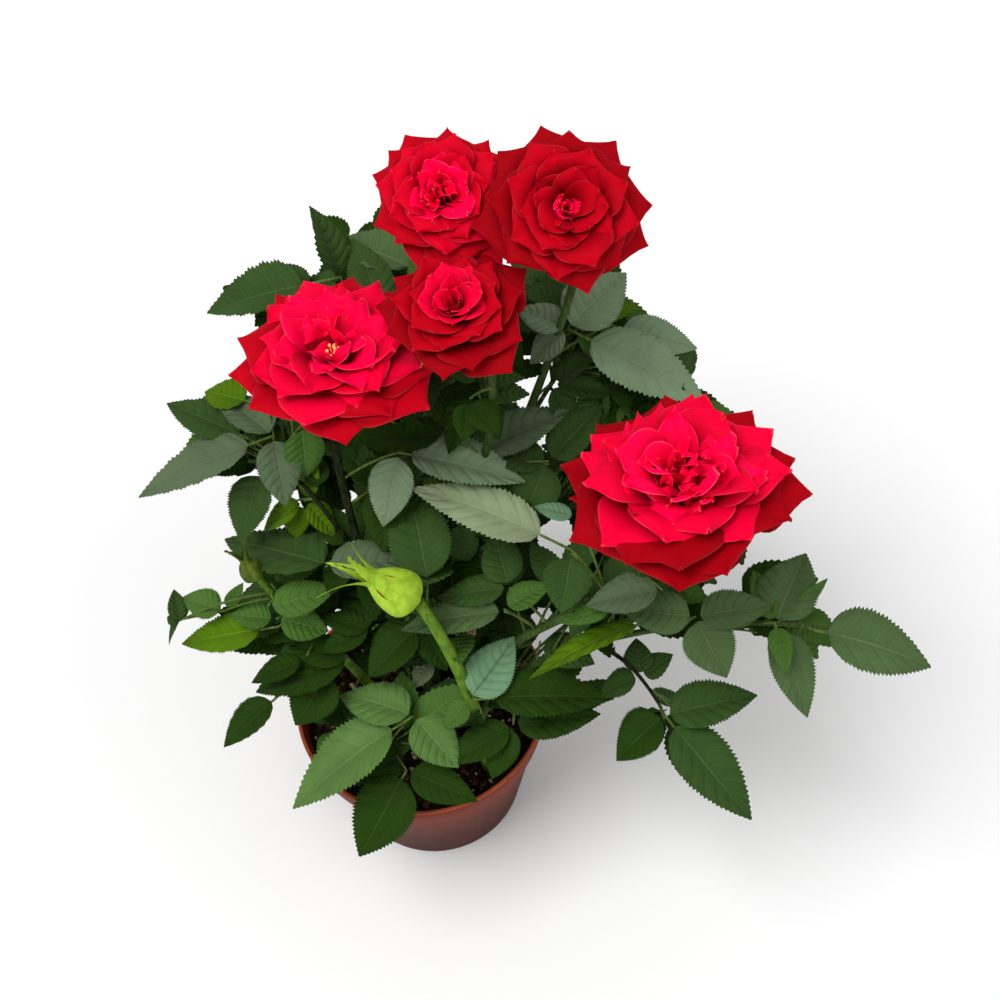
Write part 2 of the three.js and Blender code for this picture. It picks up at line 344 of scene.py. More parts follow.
def leaf_material(name, blade, rib, underside, roughness, sheen):
    """A leaf with its own blade, rib and underside colours."""
    material, tree, shader = new_material(
        name, Coat_Weight=sheen, Coat_Roughness=0.35, Specular_IOR_Level=0.08 + 1.4 * sheen
    )
    place = object_place(tree)
    relief = use_group(tree, relief_group, {"UV": blade_uv(tree)})
    pores = grain(tree, place, 1600.0)
    colour = blend(tree, maths(tree, "MULTIPLY", relief["Veins"], VEIN_TINT), blade, rib)
    colour = blend(tree, maths(tree, "MULTIPLY", relief["Midrib"], RIB_TINT), colour, rib)
    colour = blend(tree, backfacing(tree), colour, underside)
    rough = maths(tree, "MULTIPLY_ADD", pores, 0.16, roughness + MATT_LIFT)
    lift = maths(tree, "MULTIPLY_ADD", pores, 0.12, relief["Height"])
    close_material(tree, shader, colour, mottle(tree, place, 55.0, 0.45), rough, lift, 0.7, 0.65)
    return material


# The tints of the bush, some with light or shade painted in: blade, rib and underside
# colour, roughness and waxy sheen.
LEAF_TINTS = {
    # painted shade: the darkest leaves, low in the bush and inside the crown
    "shade": ((0.011, 0.031, 0.002), (0.032, 0.064, 0.012), (0.040, 0.070, 0.028), 0.50, 0.02),
    # dark green, partly the leaves' own colour and partly painted shade on the lower sprays
    "deep": ((0.023, 0.052, 0.010), (0.060, 0.100, 0.030), (0.060, 0.095, 0.040), 0.48, 0.04),
    "green": ((0.042, 0.098, 0.014), (0.110, 0.185, 0.050), (0.090, 0.150, 0.060), 0.45, 0.05),
    "fresh": ((0.062, 0.126, 0.028), (0.120, 0.190, 0.065), (0.090, 0.150, 0.060), 0.45, 0.07),
    "moss": ((0.045, 0.082, 0.026), (0.100, 0.150, 0.060), (0.090, 0.140, 0.060), 0.45, 0.08),
    # a copy of the grey-green below, darkened with painted shade
    "sage_painted_shade": ((0.060, 0.092, 0.044), (0.100, 0.135, 0.068), (0.100, 0.140, 0.080), 0.44, 0.10),
    # grey-green, partly the leaves' own colour and partly a painted reflection of the sky
    "sage_painted_sheen": ((0.110, 0.164, 0.090), (0.165, 0.220, 0.120), (0.130, 0.175, 0.100), 0.42, 0.14),
    "lime": ((0.054, 0.116, 0.002), (0.140, 0.225, 0.020), (0.100, 0.170, 0.015), 0.45, 0.02),
    "pale": ((0.105, 0.200, 0.105), (0.045, 0.085, 0.040), (0.150, 0.240, 0.150), 0.48, 0.08),
    "turned": ((0.165, 0.215, 0.118), (0.240, 0.300, 0.170), (0.070, 0.110, 0.055), 0.50, 0.05),
}
leaf_finishes = {tint: leaf_material("leaf " + tint, *values) for tint, values in LEAF_TINTS.items()}
print("leaf finishes", ", ".join(leaf_finishes))

# %% [markdown]
# ## Petal finish
#
# The petals are scarlet velvet. Velvet scatters light back at its edges, which is the
# shader's sheen, and it has no sharp highlight. The throat and the back of a petal are
# darker with painted shade, its rim carries a fine pale line of painted highlight, and the
# blade has faint ribs that run to the rim.
# The petals of the heart are pinker, so they get a finish of their own.

# %% Petal material
# how far the back of a petal takes the throat's painted shade, and its edge the rim's
# painted highlight
THROAT_SHADE_BEHIND, RIM_HIGHLIGHT = 0.6, 0.3


def petal_material(name, throat_shade, blade, rim):
    material, tree, shader = new_material(
        name,
        Sheen_Weight=0.06,
        Sheen_Roughness=0.4,
        Sheen_Tint=(1.0, 0.0, 0.20, 1.0),
        Specular_IOR_Level=0.04,
    )
    place, uv = object_place(tree), blade_uv(tree)
    split = node(tree, "ShaderNodeSeparateXYZ", {"Vector": uv}).outputs
    velvet = grain(tree, place, 2600.0)
    # painted shade: the petal darkens from its blade down into its throat
    colour = blend(tree, ramp(tree, split["Y"], 0.3, 0.9), throat_shade, blade)
    # painted shade on the back of each petal
    colour = blend(tree, maths(tree, "MULTIPLY", backfacing(tree), THROAT_SHADE_BEHIND), colour, throat_shade)
    # painted highlight: a pale line along the edge of the lip and across the tip
    aside = maths(tree, "ABSOLUTE", maths(tree, "SUBTRACT", split["X"], 0.5))
    margin = maths(tree, "MULTIPLY", ramp(tree, aside, 0.46, 0.5), ramp(tree, split["Y"], 0.5, 0.8))
    edge = maths(tree, "MAXIMUM", margin, ramp(tree, split["Y"], 0.965, 1.0))
    colour = blend(tree, maths(tree, "MULTIPLY", edge, RIM_HIGHLIGHT), colour, rim)
    rough = maths(tree, "MULTIPLY_ADD", velvet, 0.2, 0.5)
    ribs = clouds(tree, stretched(tree, uv, (26.0, 1.6, 1.0)), 5.0)
    lift = maths(tree, "MULTIPLY_ADD", velvet, 0.25, ribs)
    close_material(tree, shader, colour, mottle(tree, place, 90.0, 0.25), rough, lift, 0.35)
    return material


# From the deep red of shaded petals, whose darkness is partly painted shade, to the rose
# pink of the hearts: throat, blade and rim. The throat is painted shade, the rim a painted
# highlight.
REDS = (
    ("deep red petal", (0.09, 0.0, 0.001), (0.25, 0.0, 0.003), (0.36, 0.03, 0.03)),
    ("crimson petal", (0.12, 0.0, 0.001), (0.36, 0.0, 0.006), (0.48, 0.04, 0.05)),
    ("red petal", (0.16, 0.0, 0.003), (0.48, 0.0, 0.012), (0.62, 0.05, 0.07)),
    ("scarlet petal", (0.26, 0.0, 0.008), (0.62, 0.0, 0.026), (0.74, 0.07, 0.11)),
    ("rose petal", (0.40, 0.0, 0.018), (0.76, 0.0, 0.045), (0.88, 0.12, 0.20)),
)
petal_finishes = [petal_material(*colours) for colours in REDS]
print("petal finishes", ", ".join(finish.name for finish in petal_finishes))

# %% [markdown]
# ## Stem, bud and stamen finishes
#
# A young rose stem is smooth and green, an old one is darker and duller. Both are
# streaked along their length: a noise is drawn out along the upright axis. The same
# recipe with other colours does for the leaf stalks, the sepals of the buds and the
# stamens.

# %% Stem material


def stem_material(name, light, dark, roughness, streaks=9.0, gloss=0.2):
    material, tree, shader = new_material(name, Specular_IOR_Level=gloss)
    place = object_place(tree)
    streak = clouds(tree, stretched(tree, place, (1.0, 1.0, 0.12)), 100.0 * streaks, 3.0)
    pores = grain(tree, place, 1800.0)
    colour = blend(tree, ramp(tree, streak, 0.35, 0.65), light, dark)
    rough = maths(tree, "MULTIPLY_ADD", pores, 0.2, roughness)
    lift = maths(tree, "MULTIPLY_ADD", pores, 0.4, streak)
    close_material(tree, shader, colour, mottle(tree, place, 70.0, 0.4), rough, lift, 0.5)
    return material


green_stem = stem_material("green stem", (0.045, 0.075, 0.018), (0.026, 0.048, 0.010), 0.50, gloss=0.1)
bud_stem = stem_material("bud stem", (0.090, 0.170, 0.014), (0.062, 0.125, 0.009), 0.45, gloss=0.1)
dark_stem = stem_material("dark stem", (0.012, 0.016, 0.005), (0.005, 0.006, 0.002), 0.55, gloss=0.06)
leaf_stalk = stem_material("leaf stalk", (0.080, 0.120, 0.024), (0.045, 0.075, 0.012), 0.50, gloss=0.1)
sepal_green = stem_material("sepal", (0.250, 0.385, 0.026), (0.170, 0.285, 0.016), 0.42, 3.0, 0.1)
# the body of a bud, darker than its sepals: painted shade for the seams between them
bud_body_painted_shade = stem_material("bud body painted shade", (0.085, 0.145, 0.012), (0.050, 0.090, 0.006), 0.50, 4.0, 0.1)
sepal_olive = stem_material("olive sepal", (0.062, 0.095, 0.009), (0.036, 0.054, 0.006), 0.50, 4.0, 0.1)
cut_wood = stem_material("cut wood", (0.420, 0.300, 0.190), (0.200, 0.120, 0.070), 0.70)
stamen_gold = stem_material("stamen", (0.900, 0.560, 0.220), (0.800, 0.380, 0.120), 0.60)
print("stem finishes", green_stem.name, dark_stem.name)

# %% [markdown]
# ## Pot finish
#
# The pot is moulded plastic in a terracotta colour. It is half matt, a little cloudy,
# its wall darkens towards its foot, and the top of its rim is brighter than its wall.
# Crumbs of soil stick to the rim as small dark specks.

# %% Pot material
POT_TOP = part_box("pot")[1][2]
FOOT_RED, WALL_RED, RIM_RED = (0.042, 0.005, 0.001), (0.118, 0.017, 0.006), (0.380, 0.085, 0.040)
SPECK_BROWN = (0.030, 0.018, 0.012)
RIM_SHARE = 0.6


def pot_material():
    material, tree, shader = new_material("terracotta plastic", Specular_IOR_Level=0.05)
    place = object_place(tree)
    height = node(tree, "ShaderNodeSeparateXYZ", {"Vector": place}).outputs["Z"]
    dust = grain(tree, place, 1100.0)
    colour = blend(tree, ramp(tree, height, 0.2 * POT_TOP, 0.95 * POT_TOP), FOOT_RED, WALL_RED)
    on_rim = ramp(tree, height, POT_TOP - 1.4 * MM, POT_TOP - 0.2 * MM)
    colour = blend(tree, maths(tree, "MULTIPLY", on_rim, RIM_SHARE), colour, RIM_RED)
    crumbs = node(tree, "ShaderNodeTexVoronoi", {"Vector": place, "Scale": 420.0}).outputs["Distance"]
    patches = ramp(tree, clouds(tree, place, 60.0), 0.56, 0.62)
    specks = maths(tree, "MULTIPLY", ramp(tree, crumbs, 0.22, 0.12), patches)
    specks = maths(tree, "MULTIPLY", specks, ramp(tree, height, POT_TOP - 12 * MM, POT_TOP))
    colour = blend(tree, specks, colour, SPECK_BROWN)
    rough = maths(tree, "MULTIPLY_ADD", dust, 0.25, 0.38)
    lift = maths(tree, "MULTIPLY_ADD", specks, 2.0, dust)
    close_material(tree, shader, colour, mottle(tree, place, 40.0, 0.22), rough, lift, 0.2)
    return material


pot_plastic = pot_material()
print("pot finish", pot_plastic.name, "rim at", round(POT_TOP / MM, 1), "mm")

# %% [markdown]
# ## Soil finishes
#
# Potting mix is nearly black when damp, with fibres and shreds of bark and, scattered
# through it, pale crumbs of perlite. The bed, the bark and the perlite each get a
# finish from one recipe: two colours mixed by a coarse noise, and a strong grain.

# %% Soil material


def earth_material(name, dark, light, roughness, scale):
    material, tree, shader = new_material(name, Specular_IOR_Level=0.06)
    place = object_place(tree)
    lumps = clouds(tree, place, scale, 5.0)
    pores = grain(tree, place, 1500.0)
    colour = blend(tree, ramp(tree, lumps, 0.42, 0.66), dark, light)
    rough = maths(tree, "MULTIPLY_ADD", pores, 0.2, roughness)
    lift = maths(tree, "MULTIPLY_ADD", pores, 0.5, lumps)
    close_material(tree, shader, colour, mottle(tree, place, 300.0, 0.6), rough, lift, 0.9, 1.0)
    return material


soil_bed = earth_material("potting mix", (0.003, 0.002, 0.001), (0.017, 0.009, 0.004), 0.80, 420.0)
bark_shred = earth_material("bark shreds", (0.016, 0.008, 0.004), (0.075, 0.036, 0.018), 0.70, 500.0)
perlite = earth_material("perlite", (0.200, 0.150, 0.080), (0.420, 0.340, 0.210), 0.65, 700.0)
floor_finish = new_material("pale floor", Base_Color=(0.90, 0.90, 0.90, 1.0), Roughness=0.9)[0]
print("soil finishes", soil_bed.name, bark_shred.name, perlite.name)

# %% [markdown]
# ## From bmesh to piece
#
# Each piece is modelled in a bmesh and handed over by one helper, which makes its
# object, shades it smooth, gives it its materials and ties it to the body that it
# rides on. It also hides the plain solids that the piece stands in for.

# %% Hand a piece over
pieces = []


def finish_piece(name, bm, materials, slot, replaces=()):
    mesh = bpy.data.meshes.new(name)
    bm.to_mesh(mesh)
    bm.free()
    mesh.shade_smooth()
    for material in materials:
        mesh.materials.append(material)
    piece = bpy.data.objects.new(name, mesh)
    bpy.context.scene.collection.objects.link(piece)
    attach(piece, "root")
    if replaces:
        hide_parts(*replaces)
    pieces.append(name)
    print(name, len(mesh.polygons), "faces")


def finish_closed(name, bm, *details):
    """Turns the faces of closed shapes outwards first."""
    bmesh.ops.recalc_face_normals(bm, faces=bm.faces)
    finish_piece(name, bm, *details)


floor_bm = bmesh.new()
bmesh.ops.create_grid(floor_bm, x_segments=1, y_segments=1, size=3.0)
floor_mesh = bpy.data.meshes.new("floor")
floor_bm.to_mesh(floor_mesh)
floor_bm.free()
floor_mesh.materials.append(floor_finish)
floor = bpy.data.objects.new("floor", floor_mesh)
bpy.context.scene.collection.objects.link(floor)

# %% [markdown]
# Leaves, petals and sepals all start as a flat grid from -1 to 1 whose vertices are
# then moved. A mesh with many thousands of them gets slow to add to, so a small part
# is built by itself first and then joined in.

# %% Grids and small parts
scratch_mesh = bpy.data.meshes.new("scratch")


def new_bmesh():
    bm = bmesh.new()
    bm.loops.layers.uv.new("blade")
    return bm


def unit_grid(bm, columns, rows):
    return bmesh.ops.create_grid(bm, x_segments=columns, y_segments=rows, size=1.0, calc_uvs=True)["verts"]


def across_and_share(vert):
    """Reads a grid vertex: -1 to 1 across the blade, and 0 to 1 from its foot to its tip."""
    return vert.co.x, (vert.co.y + 1.0) / 2.0


def grow_in(target, build, *details):
    """Builds one small part by itself and adds it to `target`."""
    part = new_bmesh()
    build(part, *details)
    part.to_mesh(scratch_mesh)
    part.free()
    target.from_mesh(scratch_mesh, face_normals=False, vertex_normals=False)


print("grid helpers ready")

# %% [markdown]
# ## Where the canes run
#
# Each cane rises straight out of the soil, then bends over to its bloom, and each bough
# leaves a cane part of the way up. Those are Bezier curves: a foot, a tip, and handles
# that give the first and last direction. The sizes repeat those of the plain solids,
# save that the large bud's stem reaches 3 mm further.

# %% Cane and bough curves
SOIL_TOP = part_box("soil")[1][2] / MM

# foot (x, y), tip, the way the tip leans, and the radius at foot and tip
CANES = {
    "cane_back_left": ((7, 13), (40.5, 72, 311), (-0.05, -0.4, 1), (3.0, 2.0)),
    "cane_back_right": ((17, 9), (80, 59, 313), (-0.4, -0.6, 1), (3.0, 2.0)),
    "cane_middle": ((3, 3), (37, 32, 292), (-0.6, -0.2, 1), (3.0, 2.0)),
    "cane_left": ((-4, -5), (-11, 38, 264), (0.2, 0.1, 0.9), (3.2, 2.0)),
    "cane_right": ((19, -5), (110, -22, 243), (0.1, 0.2, 1), (3.4, 2.2)),
    "cane_bud": ((26, -32), (9, -21, 196), (-0.3, 0.12, 1), (3.0, 2.2)),
    "cane_small_bud": ((-13, -9), (-55, 10, 178), (-0.3, 0.1, 1), (2.4, 1.2)),
    "cane_low_right": ((25, -14), (178, -45, 170), (1, -0.35, -0.25), (2.8, 1.2)),
    "cane_front": ((-3, -18), (-17, -40, 113), (-0.6, -0.5, 0.6), (2.4, 1.5)),
    "cane_back": ((2, 22), (8, 64, 148), (0.1, 0.6, 0.8), (2.8, 1.5)),
    "cut_stub": ((21, 2), (26, -4, 138), (0.1, -0.1, 1), (2.8, 2.4)),
}
# parent cane, share of the way up it, tip, and the radius at foot and tip
BOUGHS = {
    "bough_left_upper": ("cane_left", 0.38, (-42, 47, 208), (1.8, 1.2)),
    "bough_back_left": ("cane_back_left", 0.36, (-7, 88, 240), (1.8, 1.2)),
    "bough_back_right": ("cane_back_right", 0.42, (80, 66, 226), (1.8, 1.2)),
    "bough_back_right_low": ("cane_back_right", 0.2, (80, 44, 158), (1.8, 1.2)),
    "bough_right_low": ("cane_low_right", 0.42, (99, -45, 131), (1.5, 1.0)),
    "bough_front_right": ("cane_low_right", 0.2, (44, -32, 137), (1.5, 1.0)),
}


def bezier(handles, share):
    """De Casteljau's rule: mix neighbours until one point is left."""
    while len(handles) > 1:
        handles = [a.lerp(b, share) for a, b in zip(handles, handles[1:])]
    return handles[0]


def cane_handles(name):
    foot, tip, lean, _ = CANES[name]
    start, end = point(foot[0], foot[1], SOIL_TOP - 2.0), point(*tip)
    reach = (end - start).length
    return [start, start + UP * reach * 0.42, end - Vector(lean).normalized() * reach * 0.3, end]


def bough_handles(name):
    parent, share, tip, _ = BOUGHS[name]
    handles = cane_handles(parent)
    start, end = bezier(handles, share), point(*tip)
    ahead = (bezier(handles, share + 0.01) - start).normalized()
    return [start, start + ahead * (end - start).length * 0.5, end]


LIMB_STATIONS = 28
limb_lines = {}
for limb in (*CANES, *BOUGHS):
    handles = cane_handles(limb) if limb in CANES else bough_handles(limb)
    limb_lines[limb] = [bezier(handles, i / LIMB_STATIONS) for i in range(LIMB_STATIONS + 1)]
longest = max((line[-1] - line[0]).length for line in limb_lines.values())
print("limbs", len(limb_lines), "longest", round(longest, 3), "m")

# %% [markdown]
# ## Tubes
#
# Stems, stalks and stamens are all tubes that thin as they go. A tube starts as a
# filled circle whose face is extruded again and again along a line. At each step the
# new face is moved by the change from one pose to the next, so the ring never twists.

# %% Tube helper


def tube(bm, line, radii, sides):
    """Extrudes a circle along `line`, with one radius for each of its points."""
    ahead = (line[1] - line[0]).normalized()
    turn = ahead.to_track_quat("Z", "Y")
    pose = Matrix.LocRotScale(line[0], turn, Vector((radii[0],) * 3))
    ring = bmesh.ops.create_circle(bm, cap_ends=True, radius=1.0, segments=sides, matrix=pose)["verts"]
    face = ring[0].link_faces[0]
    for i in range(1, len(line)):
        onward = (line[min(i + 1, len(line) - 1)] - line[i - 1]).normalized()
        turn = ahead.rotation_difference(onward) @ turn
        ahead = onward
        made = bmesh.ops.extrude_face_region(bm, geom=[face])["geom"]
        face = next(part for part in made if isinstance(part, bmesh.types.BMFace))
        next_pose = Matrix.LocRotScale(line[i], turn, Vector((radii[i],) * 3))
        bmesh.ops.transform(bm, matrix=next_pose @ pose.inverted(), verts=face.verts)
        pose = next_pose


def arc(start, end, bow, steps):
    """A line from `start` to `end` that is pushed sideways by `bow` in its middle."""
    handles = [start, start.lerp(end, 0.5) + bow * 2.0, end]
    return [bezier(handles, i / steps) for i in range(steps + 1)]


def taper(first, last, count):
    return [mix(first, last, i / (count - 1)) for i in range(count)]


print("tube helper ready")

# %% [markdown]
# ## Canes
#
# The canes get more stations and sides than the plain solids, and bristles. All but the
# two bud stems are slimmer than the solids and swell slightly at each leaf joint. The
# bristles are tiny cones that stand square on the stem, thick on the young bud stems and
# sparse on the rest, with a few broad thorns.

# %% Cane meshes
CANE_SIDES = 12
JOINT_EVERY = 7
JOINT_SWELL = 1.1
SLIM = 0.66
PRICK_SIDES, PRICK_POINT = 4, 0.08
FEW_BRISTLES, MANY_BRISTLES, THORNS = 26, 150, 2
BRISTLE_SIZE, THORN_SIZE = (1.0, 0.16), (3.4, 0.9)
DARK_CANES = (
    "cane_left", "cut_stub", "cane_back", "bough_left_upper", "bough_right_low", "bough_front_right"
)
BUD_CANES = ("cane_bud", "cane_small_bud")


def limb_radii(limb):
    """Radii along a limb. The plain solids hold the joints and thorns, so the bark lies inside them."""
    first, last = (CANES[limb] if limb in CANES else BOUGHS[limb])[3]
    if limb in BUD_CANES:
        return taper(first * MM, last * MM, LIMB_STATIONS + 1)
    radii = taper(first * SLIM * MM, last * SLIM * MM, LIMB_STATIONS + 1)
    for i in range(JOINT_EVERY, LIMB_STATIONS, JOINT_EVERY):
        radii[i] *= JOINT_SWELL
        radii[i + 1] *= math.sqrt(JOINT_SWELL)
        radii[i - 1] *= math.sqrt(JOINT_SWELL)
    return radii


def prick(bm, foot, out, length, width):
    """One bristle or thorn: a cone that stands on `foot` and points along `out`."""
    turn = out.to_track_quat("Z", "Y").to_matrix().to_4x4()
    pose = Matrix.Translation(foot + out * length * 0.45) @ turn
    sizes = {"radius1": width, "radius2": width * PRICK_POINT, "depth": length}
    bmesh.ops.create_cone(bm, cap_ends=True, segments=PRICK_SIDES, matrix=pose, **sizes)


def bristles(bm, limb, count, size, first):
    """Sets `count` pricks on a limb, from the share `first` of its length upwards."""
    line, radii = limb_lines[limb], limb_radii(limb)
    length, width = size
    for _ in range(count):
        i = cane_rng.randrange(int(first * LIMB_STATIONS), LIMB_STATIONS)
        share = cane_rng.random()
        ahead = (line[i + 1] - line[i]).normalized()
        out = Quaternion(ahead, cane_rng.uniform(0.0, math.tau)) @ square_to(ahead)
        foot = line[i].lerp(line[i + 1], share) + out * radii[i] * 0.9
        leaning = (out - ahead * 0.25).normalized()
        prick(bm, foot, leaning, length * cane_rng.uniform(0.6, 1.2) * MM, width * MM)


cane_rng = random.Random(11)
for name, limbs, finish in (
    ("canes_green", [l for l in limb_lines if l not in DARK_CANES + BUD_CANES], green_stem),
    ("canes_dark", DARK_CANES, dark_stem),
    ("canes_bud", BUD_CANES, bud_stem),
):
    bm = bmesh.new()
    for limb in limbs:
        tube(bm, limb_lines[limb], limb_radii(limb), CANE_SIDES)
        bristles(bm, limb, MANY_BRISTLES if limb in BUD_CANES else FEW_BRISTLES, BRISTLE_SIZE, 0.25)
        bristles(bm, limb, THORNS, THORN_SIZE, 0.1)
    finish_closed(name, bm, [finish], "cane", limbs)

# %% [markdown]
# The stub is a cane that was cut back. Its end is a small disc of brown, drying wood.

# %% Cut end of the stub
bm = bmesh.new()
stub = limb_lines["cut_stub"]
cut = stub[-1] + (stub[-1] - stub[-2]).normalized() * 0.4 * MM
tube(bm, [stub[-1], cut, cut + (cut - stub[-1]) * 0.5], [2.5 * MM, 2.4 * MM, 1.8 * MM], CANE_SIDES)
finish_closed("stub_cut_end", bm, [cut_wood], "cane")

# %% [markdown]
# ## One leaflet
#
# A leaflet is a small grid that is bent into shape. Its half width follows a curve that
# is round at the stalk and pointed at the tip. Every second edge vertex is pushed out
# and forwards, which cuts the saw teeth. The blade folds up along its midrib, puffs
# between the veins and droops towards its tip.

# %% Leaflet helper
BASE_ROUND, TIP_DRAWN = 0.55, 1.0
WIDEST = BASE_ROUND / (BASE_ROUND + TIP_DRAWN)
FULLEST = WIDEST**BASE_ROUND * (1.0 - WIDEST) ** TIP_DRAWN
TOOTH = 0.07
TOOTH_FORWARD = 0.6
PUFF = 0.16


def half_outline(along):
    """Half width of the blade, as a share of the widest, at a share of its length."""
    return max(along, 0.0) ** BASE_ROUND * max(1.0 - along, 0.0) ** TIP_DRAWN / FULLEST


def leaflet(bm, foot, along, up, length, width, rows, columns, bend):
    """Adds one blade. `bend` gives its fold, droop, ripple and sideways curve."""
    fold, droop, ripple, sweep = bend
    side = along.cross(up)
    for vert in unit_grid(bm, columns, rows):
        across, share = across_and_share(vert)
        tooth = round(share * rows) % 2 == 1
        half = 0.5 * width * half_outline(share)
        if abs(across) > 0.99:
            half *= 1.0 + TOOTH if tooth else 1.0 - 0.5 * TOOTH
            share += (TOOTH_FORWARD if tooth else 0.0) / rows
        x = across * half
        z = fold * abs(x) + PUFF * half * math.sin(math.pi * abs(across))
        vein = math.tau * (VEIN_PAIRS * (share - VEIN_LEAN * abs(across)))
        z += ripple * half * math.sin(vein) * abs(across)
        z -= droop * length * share * share
        x += sweep * length * share * share
        vert.co = foot + side * x + along * (share * length) + up * z


print("a leaflet is widest at", round(WIDEST, 2), "of its length")
